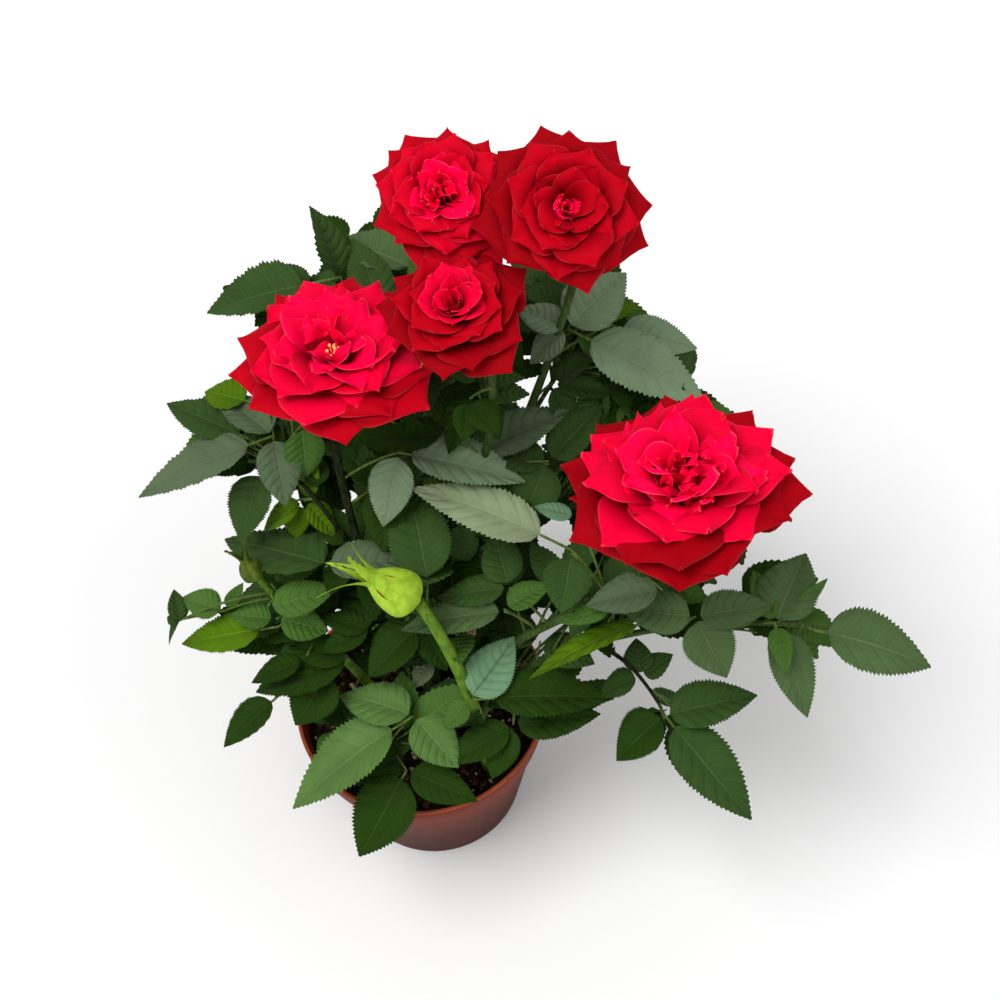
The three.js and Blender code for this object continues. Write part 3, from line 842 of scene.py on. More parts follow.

# %% [markdown]
# ## Show sprays
#
# A rose leaf is a spray of three, five or seven leaflets on one stalk, and each spray
# that can be seen well is listed here. A row gives its tint, the place of its hub in
# millimetres and its leaflets. Each leaflet has a bearing, a rise, the length of its
# own stalk, the length and width of its blade, and the roll of the blade.

# %% Table of show sprays
# Rows of the shade tint also stand in the dark gaps of the crown, their colour painted shade.
SHOW_SPRAYS = (
    ("deep", (-6, 89, 260), ((179, -8, 15, 41, 27, 0), (110, 57, 2, 28, 13, 30), (170, -39, 2, 18, 12, 0))),
    ("moss", (23, 90, 258), ((141, -3, 3, 35, 26, 0),)),
    ("deep", (9, 74, 254), ((106, 29, 2, 30, 17, 0),)),
    ("sage_painted_shade", (-41, 50, 216), (
        (-174, -10, 10, 50, 23, 0), (131, 4, 2, 30, 18, 0), (-84, -34, 2, 26, 17, 0),
    )),
    ("deep", (-51, 54, 210), ((148, 3, 5, 35, 19, 0),)),
    ("lime", (-42, 61, 220), ((148, -8, 11, 19, 16, 0), (93, 60, 2, 12, 5, 50))),
    ("green", (-29, 49, 222), ((-89, -59, 2, 22, 16, 0),)),
    ("deep", (-49, 46, 199), ((-118, -28, 2, 27, 20, 0),)),
    ("lime", (-33, 34, 192), ((-162, -25, 2, 20, 12, 0), (-41, -29, 2, 17, 11, 0), (55, 39, 2, 15, 9, 0))),
    ("deep", (-26, 8, 184), ((145, -17, 2, 53, 28, 0),)),
    ("sage_painted_shade", (-26, 2, 192), ((2, 0, 2, 32, 19, 0),)),
    ("green", (-53, 3, 166), ((8, 4, 2, 27, 14, 10),)),
    ("deep", (-90, 6, 158), ((-150, -45, 0, 13, 9, 20), (98, 30, 0, 13, 9, 20), (146, 0, 0, 6, 7, 0))),
    ("green", (-71, 7, 160), ((158, 10, 2, 17, 13, 0), (32, 47, 2, 13, 6, 50), (-178, -6, 18, 3, 2, 0))),
    ("lime", (-50, -1, 156), ((179, -7, 8, 34, 19, 0),)),
    ("green", (-51, 2, 157), ((-10, -17, 2, 20, 15, 0), (171, 8, 2, 17, 13, 0))),
    ("shade", (-24, -12, 140), ((156, 4, 2, 27, 16, 0), (179, -11, 2, 41, 25, 0))),
    ("shade", (-46, -12, 132), ((-145, -14, 15, 27, 16, 0),)),
    ("shade", (-32, -13, 136), ((-138, -22, 2, 25, 22, 0),)),
    ("fresh", (-1, -34, 128), (
        (-159, -14, 10, 52, 27, 0), (148, -3, 2, 32, 21, 0), (-52, -27, 2, 26, 20, 0),
    )),
    ("shade", (-7, -47, 106), (
        (-128, -26, 4, 37, 25, 0), (-25, -15, 2, 30, 16, 0), (-175, 0, 2, 18, 10, 0),
    )),
    ("shade", (24, -36, 140), ((-3, -1, 9, 48, 22, 0),)),
    ("green", (23, -35, 140), ((-145, -26, 2, 14, 12, 0),)),
    ("pale", (23, -36, 141), ((40, 14, 2, 29, 19, 0),)),
    ("shade", (39, -40, 122), (
        (-156, -14, 2, 30, 16, 0), (-123, -26, 2, 22, 14, 0), (-7, 10, 2, 34, 17, 0),
    )),
    ("sage_painted_sheen", (8, 31, 222), ((-16, -7, 5, 45, 23, 0), (-111, -40, 2, 28, 18, 0))),
    ("turned", (69, -12, 206), ((153, 14, 13, 53, 21, 0),)),
    ("deep", (69, -13, 205), ((-108, -28, 2, 21, 18, 0),)),
    ("sage_painted_shade", (38, 33, 214), ((11, 12, 2, 37, 19, 0),)),
    ("deep", (13, -9, 190), ((94, 21, 2, 40, 24, 0),)),
    ("deep", (44, -10, 180), ((100, 22, 2, 22, 16, 0), (171, -8, 2, 28, 14, 0))),
    ("moss", (41, -18, 176), ((172, -8, 2, 41, 17, 0),)),
    ("green", (41, -17, 176), ((20, 17, 2, 19, 13, 0),)),
    ("lime", (93, -28, 172), ((-169, -4, 2, 46, 15, 30),)),
    ("moss", (113, -36, 186), ((4, 0, 2, 28, 17, 0), (166, 4, 2, 26, 17, 0), (-67, -26, 2, 24, 20, 0))),
    ("sage_painted_shade", (101, -32, 202), ((172, -8, 2, 28, 16, 0),)),
    ("green", (83, -30, 190), ((180, -10, 2, 20, 12, 0),)),
    ("deep", (79, -13, 178), ((13, 19, 2, 25, 19, 0), (-139, -39, 2, 22, 14, 0))),
    ("moss", (144, -37, 175), ((-75, -27, 4, 34, 17, 0), (59, 26, 2, 28, 23, 0), (-85, -36, 4, 16, 9, 0))),
    ("green", (145, -36, 174), ((111, 25, 2, 20, 12, 0), (26, 27, 9, 17, 7, 60))),
    ("moss", (157, -43, 178), ((-18, -12, 6, 43, 27, 0),)),
    ("green", (144, -38, 177), ((109, 13, 2, 20, 8, 0), (-92, -3, 2, 19, 9, 0))),
    ("deep", (100, -48, 130), ((-54, -22, 6, 48, 24, 0), (3, 6, 2, 36, 20, 0))),
    ("shade", (100, -48, 130), ((-156, -23, 2, 25, 20, 0),)),
    ("deep", (92, -35, 140), ((88, 24, 2, 14, 12, 0), (-177, -20, 2, 17, 14, 0), (22, 25, 2, 14, 12, 0))),
    ("sage_painted_sheen", (78, 62, 246), ((-31, -12, 10, 50, 28, 0), (40, 18, 2, 30, 23, 0))),
    ("sage_painted_sheen", (78, 62, 246), ((-156, -24, 2, 18, 16, 0), (144, 5, 2, 20, 13, 0))),
    ("sage_painted_sheen", (91, 68, 240), ((-19, -11, 9, 30, 16, 0),)),
    ("lime", (91, 68, 240), ((11, 20, 2, 15, 5, 40),)),
    ("deep", (70, 52, 226), ((-8, -14, 2, 24, 9, 30), (-65, -41, 2, 19, 13, 0), (21, 22, 2, 22, 12, 0))),
    ("deep", (65, 24, 214), ((35, 24, 2, 28, 21, 0), (-127, -28, 2, 24, 19, 0))),
    ("deep", (44, -2, 165), ((94, 36, 2, 22, 16, 0),)),
    ("shade", (6, -4, 150), ((-149, -21, 2, 28, 20, 0), (-60, -20, 2, 20, 14, 0))),
    ("turned", (9, -4, 120), ((-132, -16, 2, 13, 9, 0),)),
    ("shade", (38, 23, 262), ((-60, -10, 2, 16, 12, 0), (-110, -30, 2, 14, 10, 0))),
    ("shade", (-20, 38, 172), ((-178, -9, 2, 25, 16, 0), (138, 0, 2, 23, 15, 0), (95, 20, 2, 15, 10, 0))),
    ("shade", (-13, -4, 150), ((-176, -11, 2, 22, 14, 0), (126, 0, 2, 18, 12, 0), (154, 0, 2, 21, 12, 0))),
    ("shade", (-42, -10, 142), ((-172, -10, 2, 22, 14, 0),)),
    ("shade", (-17, 19, 178), ((124, 22, 2, 20, 14, 0), (64, 31, 2, 22, 12, 0), (-127, -30, 2, 20, 13, 0))),
    ("shade", (41, 43, 238), (
        (-138, -28, 2, 24, 16, 0), (-67, -32, 2, 18, 11, 0), (167, -9, 2, 14, 10, 0),
    )),
    ("lime", (-36, 36, 190), ((-106, -45, 2, 14, 11, 0),)),
    ("deep", (26, 17, 190), ((-80, -60, 2, 18, 14, 0),)),
    ("pale", (73, 3, 205), ((159, 8, 2, 15, 8, 0),)),
    ("shade", (27, 34, 226), ((56, 20, 2, 24, 20, 0), (170, -10, 2, 28, 18, 0))),
    ("shade", (2, 30, 204), ((-100, -20, 2, 26, 18, 0), (140, 10, 2, 24, 16, 0))),
    ("deep", (54, -13, 140), ((150, -5, 2, 26, 18, 0), (-30, -10, 2, 22, 16, 0))),
    ("deep", (65, 24, 212), ((160, 5, 2, 24, 17, 0),)),
)
print("show sprays", len(SHOW_SPRAYS), "leaflets", sum(len(row[2]) for row in SHOW_SPRAYS))

# %% [markdown]
# ## Growing a spray
#
# A spray starts on the nearest cane, a little below its hub, and its stalk arches up to
# the hub. Each tint is collected in a bmesh of its own, because a colour that has its
# place on the bush is dealt out spray by spray, and all the stalks share another one.

# %% Spray helpers
SHOW_ROWS, SHOW_COLUMNS = 52, 6
STALK_SIDES = 6
HUB_STALK, LEAF_STALK = 0.5 * MM, 0.55 * MM
SHORTEST_STALK = 2
# least and most fold, droop, ripple and sideways curve of a leaflet
BENDS = ((0.10, 0.34), (0.02, 0.16), (0.02, 0.045), (-0.07, 0.07))

leaf_meshes = {tint: new_bmesh() for tint in LEAF_TINTS}
stalk_mesh = new_bmesh()
leaf_rng = random.Random(5)


def anchor_for(hub, below=1):
    """The place on the nearest limb, `below` stations down, from which a stalk would grow."""
    stations = ((line, i) for line in limb_lines.values() for i in range(len(line)))
    line, i = min(stations, key=lambda station: (station[0][station[1]] - hub).length)
    return line[max(i - below, 0)]


def grow_stalk(start, end):
    line = arc(start, end, UP * 0.08 * (end - start).length, 6)
    radii = taper(HUB_STALK * 1.3, HUB_STALK * 0.8, len(line))
    grow_in(stalk_mesh, tube, line, radii, STALK_SIDES)


def hang_leaflet(tint, hub, leaf, rows, columns):
    bearing, rise, stalk, length, width, roll = leaf
    along = heading(bearing + leaf_rng.uniform(-3, 3), rise)
    foot = hub + along * stalk * MM
    if stalk > SHORTEST_STALK:
        grow_in(stalk_mesh, tube, arc(hub, foot, Vector(), 3), [LEAF_STALK] * 4, STALK_SIDES)
    tilt = Quaternion(along, math.radians(roll + leaf_rng.uniform(-14, 14)))
    bend = [leaf_rng.uniform(*limits) for limits in BENDS]
    up = tilt @ square_to(along)
    grow_in(leaf_meshes[tint], leaflet, foot, along, up, length * MM, width * MM, rows, columns, bend)


for tint, hub, leaflets in SHOW_SPRAYS:
    place = point(*hub)
    grow_stalk(anchor_for(place), place)
    for leaf in leaflets:
        hang_leaflet(tint, place, leaf, SHOW_ROWS, SHOW_COLUMNS)
print("show leaflets", sum(len(bm.faces) for bm in leaf_meshes.values()) // (SHOW_ROWS * SHOW_COLUMNS))

# %% [markdown]
# ## Filling the crown
#
# The rest of the foliage follows a seeded rule. In every leafy solid hubs are drawn at
# random, each gets a stalk from its nearest cane, and its spray points the same way as
# the stalk, with pairs of leaflets set off to both sides. The seed makes the same bush
# every time. The listed sprays give the bush its outline, so a leaflet is kept only
# where it lies in their shade: behind them, as seen from the camera, and never in an
# opening through which the backdrop, a bud or the soil shows.
#
# The view is cut into the small cells of a net. Each cell that holds a part of a listed
# spray, a bloom or a bud keeps how far off the nearest part is.

# %% Cells that the listed sprays cover
CELL = 0.0035
BUD_PLACES = 9
DISC_RINGS, DISC_STEPS = 15, 60
DISC_SHARE = 0.4

to_camera = camera.matrix_world.inverted()


def cell_of(place):
    """The cell of a fine net across the view that `place` falls in, and how far off it is."""
    seen = to_camera @ place
    return (round(-seen.x / seen.z / CELL), round(-seen.y / seen.z / CELL)), -seen.z


def corners_of(name):
    return [Vector(corner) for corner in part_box(name)]


def disc_places(low, high):
    """Places on a level disc in the middle of a bloom's box."""
    middle, radius = (low + high) / 2.0, DISC_SHARE * (high.x - low.x)
    turns = [heading(360.0 * step / DISC_STEPS, 0) for step in range(DISC_STEPS)]
    rings = range(1, DISC_RINGS + 1)
    return [middle + turn * radius * ring / DISC_RINGS for ring in rings for turn in turns]


show_places = [vert.co for bm in leaf_meshes.values() for vert in bm.verts]
for limb in BUD_CANES:
    show_places += limb_lines[limb][LIMB_STATIONS // 2:]
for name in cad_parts:
    if name.startswith("bud"):
        low, high = corners_of(name)
        show_places += [low.lerp(high, i / (BUD_PLACES - 1)) for i in range(BUD_PLACES)]
    if name.startswith("bloom"):
        show_places += disc_places(*corners_of(name))
cover = {}
for place in show_places:
    cell, off = cell_of(place)
    cover[cell] = min(off, cover.get(cell, math.inf))
print("cells covered", len(cover))

# %% [markdown]
# A flood from a corner of the net then marks everything outside the bush. What it does
# not reach is closed in by leaves. The listed openings are added to the outside.

# %% What lies in their shade
BEHIND_BY = 5 * MM

# Places that stay open along the line of sight: a point in millimetres and a clear radius.
OPENINGS = (
    ((68, 33, 240), 9), ((83, 37, 235), 6), ((109, 83, 245), 10), ((64, 32, 150), 5),
    ((94, -18, 130), 9), ((28, 76, 200), 3), ((-23, 60, 150), 3), ((128, -44, 160), 7),
    ((142, -43, 160), 9), ((165, -25, 172), 8), ((136, -19, 184), 6), ((-53, -1, 145), 4),
    ((-62, 19, 150), 4), ((-83, 6, 150), 3), ((-57, 27, 150), 2), ((96, -30, 170), 6),
    ((-17, 101, 256), 4), ((125, -55, 122), 4), ((100, -72, 118), 4),
)


def around(cell, reach=1):
    steps = range(-reach, reach + 1)
    return [(cell[0] + i, cell[1] + j) for i in steps for j in steps if i or j]


def grown(cells):
    return cells | {near for cell in cells for near in around(cell)}


walls = grown(set(cover))
west, east = min(c[0] for c in walls) - 2, max(c[0] for c in walls) + 2
south, north = min(c[1] for c in walls) - 2, max(c[1] for c in walls) + 2
outside, front = {(west, south)}, [(west, south)]
while front:
    x, y = front.pop()
    for cell in ((x + 1, y), (x - 1, y), (x, y + 1), (x, y - 1)):
        in_net = west <= cell[0] <= east and south <= cell[1] <= north
        if in_net and cell not in walls and cell not in outside:
            outside.add(cell)
            front.append(cell)
outside = grown(outside) - set(cover)
for place, radius in OPENINGS:
    cell, off = cell_of(point(*place))
    reach = round(radius * MM / off / CELL)
    outside |= {cell, *(c for c in around(cell, reach) if math.dist(c, cell) <= reach)}


def in_the_shade(place):
    """True where `place` lies behind the listed sprays and clear of the openings."""
    cell, off = cell_of(place)
    inside_net = west < cell[0] < east and south < cell[1] < north
    return inside_net and cell not in outside and off > cover.get(cell, 0.0) + BEHIND_BY


print("cells outside", len(outside))

# %% [markdown]
# One spray of the rule is an end leaflet and one or two pairs behind it. It is planned
# first, each leaflet is tested, and the spray grows only if enough of it is hidden.

# %% Plan of one spray
FILL_ROWS, FILL_COLUMNS = 22, 2
PAIR_EVERY = 13 * MM
END_STALK, SIDE_STALK = 6, 2
OUTSIDE_BY = 8 * MM
STALK_CHECKS = 5

fill_rng = random.Random(23)


def spray_plan(hub, ahead, size, pairs):
    """Where each leaflet of one spray goes: its foot, bearing, rise, stalk, length and width."""
    bearing = math.degrees(math.atan2(ahead.y, ahead.x))
    rise = math.degrees(math.asin(max(-1.0, min(1.0, ahead.z))))
    plan = [(hub, bearing, rise, END_STALK, size, size * 0.55)]
    for pair in range(pairs):
        root = hub - ahead * pair * PAIR_EVERY
        for hand in (-1, 1):
            turn = bearing + hand * fill_rng.uniform(55, 75)
            length = size * mix(0.85, 0.65, pair)
            plan.append((root, turn, rise - 8, SIDE_STALK, length, length * 0.6))
    return plan


def leaflet_fits(foot, bearing, rise, stalk, length, width, low, high):
    """Tests the two ends and the two sides of a blade against the shade and the solid's box."""
    ahead = heading(bearing, rise)
    side = ahead.cross(square_to(ahead)) * 0.4 * width * MM
    middle = foot + ahead * (stalk + 0.45 * length) * MM
    places = (middle - side, middle + side, middle, foot + ahead * (stalk + length) * MM)
    for place in places:
        for axis in range(3):
            if not low[axis] - OUTSIDE_BY < place[axis] < high[axis] + OUTSIDE_BY:
                return False
    return all(in_the_shade(place) for place in places)


def stalk_hidden(anchor, hub):
    return all(in_the_shade(anchor.lerp(hub, i / STALK_CHECKS)) for i in range(1, STALK_CHECKS + 1))


print("spray plan ready")

# %% Fill rule
FOLIAGE = [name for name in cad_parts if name.startswith("leaves_")]
TRIES_PER_LITRE = 340
MOST_TRIES = 110
LEAST_KEPT = 2
FLATTEN = 0.4
SHORTEST = 4 * MM
STRAY = 0.35

fill_count = 0
for mass in FOLIAGE:
    low, high = corners_of(mass)
    size = high - low
    litres = size.x * size.y * size.z * 1000.0
    for _ in range(min(MOST_TRIES, round(TRIES_PER_LITRE * litres))):
        share = Vector([fill_rng.uniform(0.15, 0.85) for _ in range(3)])
        hub = low + share * size
        anchor = anchor_for(hub, fill_rng.randrange(1, 8))
        ahead = hub - anchor
        ahead.z *= FLATTEN
        if ahead.length < SHORTEST:
            ahead = heading(fill_rng.uniform(0, 360), 10)
        ahead = (ahead.normalized() + heading(fill_rng.uniform(0, 360), 0) * STRAY).normalized()
        # hidden fill leaves mostly take the darkest tints, painted shade for the inside of the crown
        tint = fill_rng.choice(("shade", "shade", "deep", "deep", "green"))
        plan = spray_plan(hub, ahead, fill_rng.uniform(22, 32), fill_rng.choice((1, 2, 2)))
        kept = [leaf for leaf in plan if leaflet_fits(*leaf, low, high)]
        if len(kept) < LEAST_KEPT or not stalk_hidden(anchor, hub):
            continue
        grow_stalk(anchor, hub)
        for root, turn, rise, *sizes in kept:
            leaf = (turn, rise + fill_rng.uniform(-12, 8), *sizes, 0)
            hang_leaflet(tint, root, leaf, FILL_ROWS, FILL_COLUMNS)
            fill_count += 1
print("fill leaflets", fill_count)

# %% Hand the leaves over
LEAF_STANDS_FOR = {"shade": FOLIAGE}
for tint, bm in leaf_meshes.items():
    bmesh.ops.remove_doubles(bm, verts=bm.verts, dist=0.01 * MM)
    finish_piece("leaves_" + tint, bm, [leaf_finishes[tint]], "foliage", LEAF_STANDS_FOR.get(tint, ()))
finish_closed("leaf_stalks", stalk_mesh, [leaf_stalk], "cane")

# %% [markdown]
# ## One petal
#
# A petal is a grid too. Its midline is a curve that leans further and further from the
# bloom's axis, so an inner petal stands up and curls in, and an outer one spreads out.
# Seen flat it is a fan on a narrow claw. The petals of the heart have a round top, and
# the outer ones run out to the sharp point of this kind of rose. Each row of the grid
# is bent across: the middle is cupped like a bowl and the margin rolls back under.

# %% Petal helper
PETAL_COLUMNS, PETAL_ROWS = 20, 16
WIDEST_AT = 0.56
BLUNT_TIP = 0.995
MOST_CUP = 1.9


def petal_outline(along, pointed):
    """Half width of a flat petal, as a share of its widest."""
    if along < WIDEST_AT:
        return 0.32 + 0.68 * math.sin(0.5 * math.pi * along / WIDEST_AT)
    beyond = (along - WIDEST_AT) / (1.0 - WIDEST_AT)
    fan = math.sqrt(1.0 - beyond**2.6)
    point_ended = (1.0 - beyond) ** 1.3 * (1.0 + 1.3 * beyond)
    return mix(fan, point_ended, pointed)


def petal_row(shape, along, radius, lean):
    """The cross-section of one row: steps out from the midline as pairs across and up."""
    half = shape["half"] * petal_outline(along, shape["pointed"])
    cup = shape["cup"] * math.cos(lean) / max(abs(radius), 0.25 * shape["half"])
    steps = PETAL_COLUMNS // 2
    step = half / steps
    places, angle, across, up = [(0.0, 0.0)], 0.0, 0.0, 0.0
    for i in range(steps):
        outer = (i + 0.5) / steps
        angle += step * cup - 3.0 * shape["roll"] * along**3 * outer**2 / steps
        angle = min(MOST_CUP, angle)
        across += step * math.cos(angle)
        up += step * math.sin(angle)
        places.append((across, up))
    return places


def petal_midline(shape, along):
    """Where the midline is, out from the axis and up it, and how far it leans."""
    here = bezier(shape["midline"], along)
    ahead = bezier(shape["midline"], along + 0.01) - bezier(shape["midline"], along - 0.01)
    return here.x, here.y, math.atan2(ahead.x, ahead.y)


def petal(bm, pose, turn, shape, material):
    """Adds one petal. Lengths in `shape` are metres, and angles are in radians."""
    grid = unit_grid(bm, PETAL_COLUMNS, PETAL_ROWS)
    rows = []
    for row in range(PETAL_ROWS + 1):
        along = BLUNT_TIP * row / PETAL_ROWS
        radius, height, lean = petal_midline(shape, along)
        rows.append((radius, height, lean, petal_row(shape, along, radius, lean)))
    outward = turned(1.0, turn, 0.0)
    aside = Vector((math.sin(turn), -math.cos(turn), 0.0))
    for vert in grid:
        hand, share = across_and_share(vert)
        radius, height, lean, places = rows[round(share * PETAL_ROWS)]
        across, up = places[round(abs(hand) * PETAL_COLUMNS / 2)]
        up += shape["wave"] * share * math.sin(3.0 * hand + shape["phase"])
        inner = UP * math.sin(lean) - outward * math.cos(lean)
        side = Quaternion(outward, shape["twist"] * share) @ aside
        vert.co = pose @ (outward * radius + UP * height + side * math.copysign(across, hand) + inner * up)
    for face in {face for vert in grid for face in vert.link_faces}:
        face.material_index = material


print("petal grid", PETAL_COLUMNS, "by", PETAL_ROWS)

# %% [markdown]
# ## Blooms
#
# The petals of a rose come one after another, each turned by the golden angle from the
# last, so no two lie right over each other. A bloom is then a loop from the heart
# outwards in which reach, width and lean all grow. Each bloom has its own number of
# petals, openness, height of dome and a spin that turns it on its stem.
#
# A full rose is crowded in its heart, where small tufts of petals push each other about.
# Those are small rosettes, set off from the axis, each with a slight lean of its own.

# %% Bloom table
GOLDEN_ANGLE = math.radians(137.508)

# centre, the way it faces, radius, depth, petals, how open its heart is, petals closed in
# the heart, how ruffled it is, the reds of its rim, middle and heart, its seed and its spin
# The deeper reds of the outer petals and of the three blooms at the back are partly their own colour and
# partly painted shade.
BLOOMS = {
    "bloom_back_left": ((38, 69, 321), (-0.05, -0.4, 1.0), 30.5, 28, 50, 0.0, 0, 0.7, (1, 2, 4), 70, 39),
    "bloom_back_right": ((79, 53, 324), (0.1, -0.6, 1.0), 33.5, 29, 46, 0.15, 12, 0.5, (0, 1, 4), 25, 39),
    "bloom_middle": ((37, 31.5, 304), (-0.05, -0.2, 1.0), 29.5, 28, 40, 0.0, 0, 0.3, (0, 1, 3), 42, -24),
    "bloom_left": ((-9, 40, 276), (0.0, 0.05, 1.0), 43, 30, 40, 0.20, 0, 1.2, (1, 3, 4), 29, -6),
    "bloom_right": ((109, -20.5, 258), (0.0, 0.15, 1.0), 47.3, 37, 54, 0.20, 0, 1.3, (0, 3, 4), 26, 168),
}


def facing(centre, faces):
    turn = UP.rotation_difference(Vector(faces).normalized())
    return Matrix.Translation(point(*centre)) @ turn.to_matrix().to_4x4()


def lean_of(degrees):
    return Vector((math.sin(math.radians(degrees)), math.cos(math.radians(degrees))))


def petal_shape(share, radius, depth, ruffle, rng):
    """The shape of the petal whose tip lies at `share` of the way from heart to rim."""
    loose = ruffle * (1.0 - share)
    foot = Vector((radius * mix(0.03, 0.13, share), depth * mix(-0.36, -0.44, share)))
    dome = 0.42 - 0.62 * share**2.2 - 0.10 * (1.0 - share) ** 6
    out = radius * mix(0.10, 1.0, share**0.85) * rng.uniform(0.94, 1.06)
    out += radius * loose * rng.uniform(-0.12, 0.12)
    tip = Vector((out, depth * (dome + rng.uniform(-0.05, 0.05) + loose * rng.uniform(-0.22, 0.1))))
    reach = (tip - foot).length
    first = lean_of(mix(2, 52, share**1.2) + rng.uniform(-6, 6))
    first_curl = mix(-30, 15, min(1.0, ruffle))
    swing = 14 + 35 * loose
    last = lean_of(mix(first_curl, 106, min(1.0, share / 0.55) ** 0.6) + rng.uniform(-swing, swing))
    return {
        "midline": [foot, foot + first * reach * 0.5, tip - last * reach * mix(0.25, 0.42, share), tip],
        "half": radius * mix(0.15, 0.44, share**0.85) * rng.uniform(0.88, 1.12) * (1.0 - 0.25 * loose),
        "cup": mix(1.0, 0.45, share) + loose * rng.uniform(-0.5, 0.8),
        "pointed": mix(0.3, 1.0, share**0.45),
        "roll": mix(0.7, 1.9, share**0.5),
        "wave": radius * (0.014 + 0.03 * loose),
        "phase": rng.uniform(0, math.tau),
        "twist": rng.uniform(-0.25, 0.25) + loose * rng.uniform(-0.6, 0.6),
    }


print("blooms", len(BLOOMS), "petals", sum(row[4] for row in BLOOMS.values()))

# %% Bloom meshes
OUTER, MIDDLE, HEART = 0, 1, 2
HEART_TO, MIDDLE_TO = 0.36, 0.74
CLOSED_SIZE, CLOSED_DEPTH, CLOSED_TO = 0.8, 0.55, 0.07
# The crowded hearts: how many small rosettes, how far out they sit and how large each is
CROWDS = {
    "bloom_back_left": (5, 0.17, 0.34),
    "bloom_middle": (1, 0.0, 0.42),
    "bloom_left": (4, 0.26, 0.40),
    "bloom_right": (9, 0.30, 0.36),
}
CROWD_PETALS = 6
CROWD_REACH = 0.7
CROWD_DEPTH = 0.8
CROWD_LEAN = 0.3


def whorl(bm, pose, name, rng):
    """The main petals of one bloom, from its heart to its rim."""
    _, _, radius, depth, count, opening, closed, ruffle, _, _, spin = BLOOMS[name]
    for i in range(count):
        share = i / (count - 1)
        if i < closed:
            size, height, tip_share = CLOSED_SIZE * radius, CLOSED_DEPTH * depth, CLOSED_TO * i / closed
        else:
            size, height, tip_share = radius, depth, mix(opening, 1.0, (i - closed) / (count - 1 - closed))
        shape = petal_shape(tip_share, size * MM, height * MM, ruffle, rng)
        turn = math.radians(spin) + i * GOLDEN_ANGLE + rng.uniform(-0.15, 0.15)
        in_heart = i < closed or (closed == 0 and share < HEART_TO)
        petal(bm, pose, turn, shape, HEART if in_heart else MIDDLE if share < MIDDLE_TO else OUTER)


def crowd(bm, pose, name, rng):
    """The small rosettes in the heart of a bloom."""
    _, _, radius, depth, _, _, _, ruffle, _, _, spin = BLOOMS[name]
    rosettes, spread, scale = CROWDS[name]
    for k in range(rosettes):
        out = spread * radius * math.sqrt((k + 0.5) / rosettes)
        place = Matrix.Translation(heading(math.degrees(k * GOLDEN_ANGLE) + spin, 0) * out * MM)
        tip_over = Matrix.Rotation(rng.uniform(-CROWD_LEAN, CROWD_LEAN), 4, "X")
        tip_aside = Matrix.Rotation(rng.uniform(-CROWD_LEAN, CROWD_LEAN), 4, "Y")
        own_pose = pose @ place @ (tip_over @ tip_aside)
        for i in range(CROWD_PETALS):
            reach = CROWD_REACH * i / CROWD_PETALS
            shape = petal_shape(reach, scale * radius * MM, CROWD_DEPTH * depth * MM, ruffle, rng)
            petal(bm, own_pose, i * GOLDEN_ANGLE + k, shape, HEART)


for name, (centre, faces, *_, reds, seed, spin) in BLOOMS.items():
    rng = random.Random(seed)
    bm = new_bmesh()
    whorl(bm, facing(centre, faces), name, rng)
    if name in CROWDS:
        crowd(bm, facing(centre, faces), name, rng)
    finish_piece(name + "_petals", bm, [petal_finishes[red] for red in reds], "petals", [name])

# %% [markdown]
# ## Under and inside the blooms
#
# Below each bloom the stem swells into a green hip with five sepals that fold down.
# The hip is a tube whose radius swells and shrinks. In the two open blooms a tuft of
# stamens stands in the heart: thin tubes, each with a small ball on its end.

# %% Hips and sepals
SEPALS = 5
HIP_RISES, HIP_RADII, HIP_SIDES = (-3.5, -2.0, 0.0, 1.5, 3.0), (2.1, 3.4, 4.2, 3.2, 1.5), 12
FOLDED_COLUMNS, FOLDED_ROWS = 4, 10
FOLDED_LENGTH, FOLDED_HALF, FOLDED_FOOT = 18 * MM, 4 * MM, 3 * MM
FOLDED_LEAN, FOLDED_CURL = math.radians(80), math.radians(70)


def folded_sepal(bm, pose, turn, base):
    """A narrow blade that leans out from the hip, curls down and runs out to a long point."""
    for vert in unit_grid(bm, FOLDED_COLUMNS, FOLDED_ROWS):
        across, share = across_and_share(vert)
        radius, height = FOLDED_FOOT, base
        for step in range(round(share * FOLDED_ROWS)):
            angle = FOLDED_LEAN + FOLDED_CURL * (step / FOLDED_ROWS) ** 1.4
            radius += math.sin(angle) * FOLDED_LENGTH / FOLDED_ROWS
            height += math.cos(angle) * FOLDED_LENGTH / FOLDED_ROWS
        width = FOLDED_HALF * (1.0 - share) ** 0.8
        angle = turn + across * min(width / max(radius, 0.3 * FOLDED_HALF), 1.2)
        vert.co = pose @ turned(radius, angle, height)


bm = new_bmesh()
for centre, faces, _, depth, *_ in BLOOMS.values():
    pose = facing(centre, faces)
    base = -0.5 * depth * MM
    hip = [pose @ Vector((0.0, 0.0, base + rise * MM)) for rise in HIP_RISES]
    tube(bm, hip, [size * MM for size in HIP_RADII], HIP_SIDES)
    for i in range(SEPALS):
        folded_sepal(bm, pose, math.tau * i / SEPALS, base + 1 * MM)
finish_piece("hips_and_sepals", bm, [sepal_green], "bud")

# %% Stamens
# how many stamens, and how far out their heads stand as a share of the bloom's radius
STAMEN_BLOOMS = {"bloom_left": (16, 0.08), "bloom_right": (7, 0.05)}
STAMEN_FEET, STAMEN_FROM = 0.4, -0.2
STAMEN_SIDES, STAMEN_RADIUS = 4, 0.25 * MM
ANTHER = Matrix.Diagonal((0.7 * MM, 0.7 * MM, 1.0 * MM, 1.0))

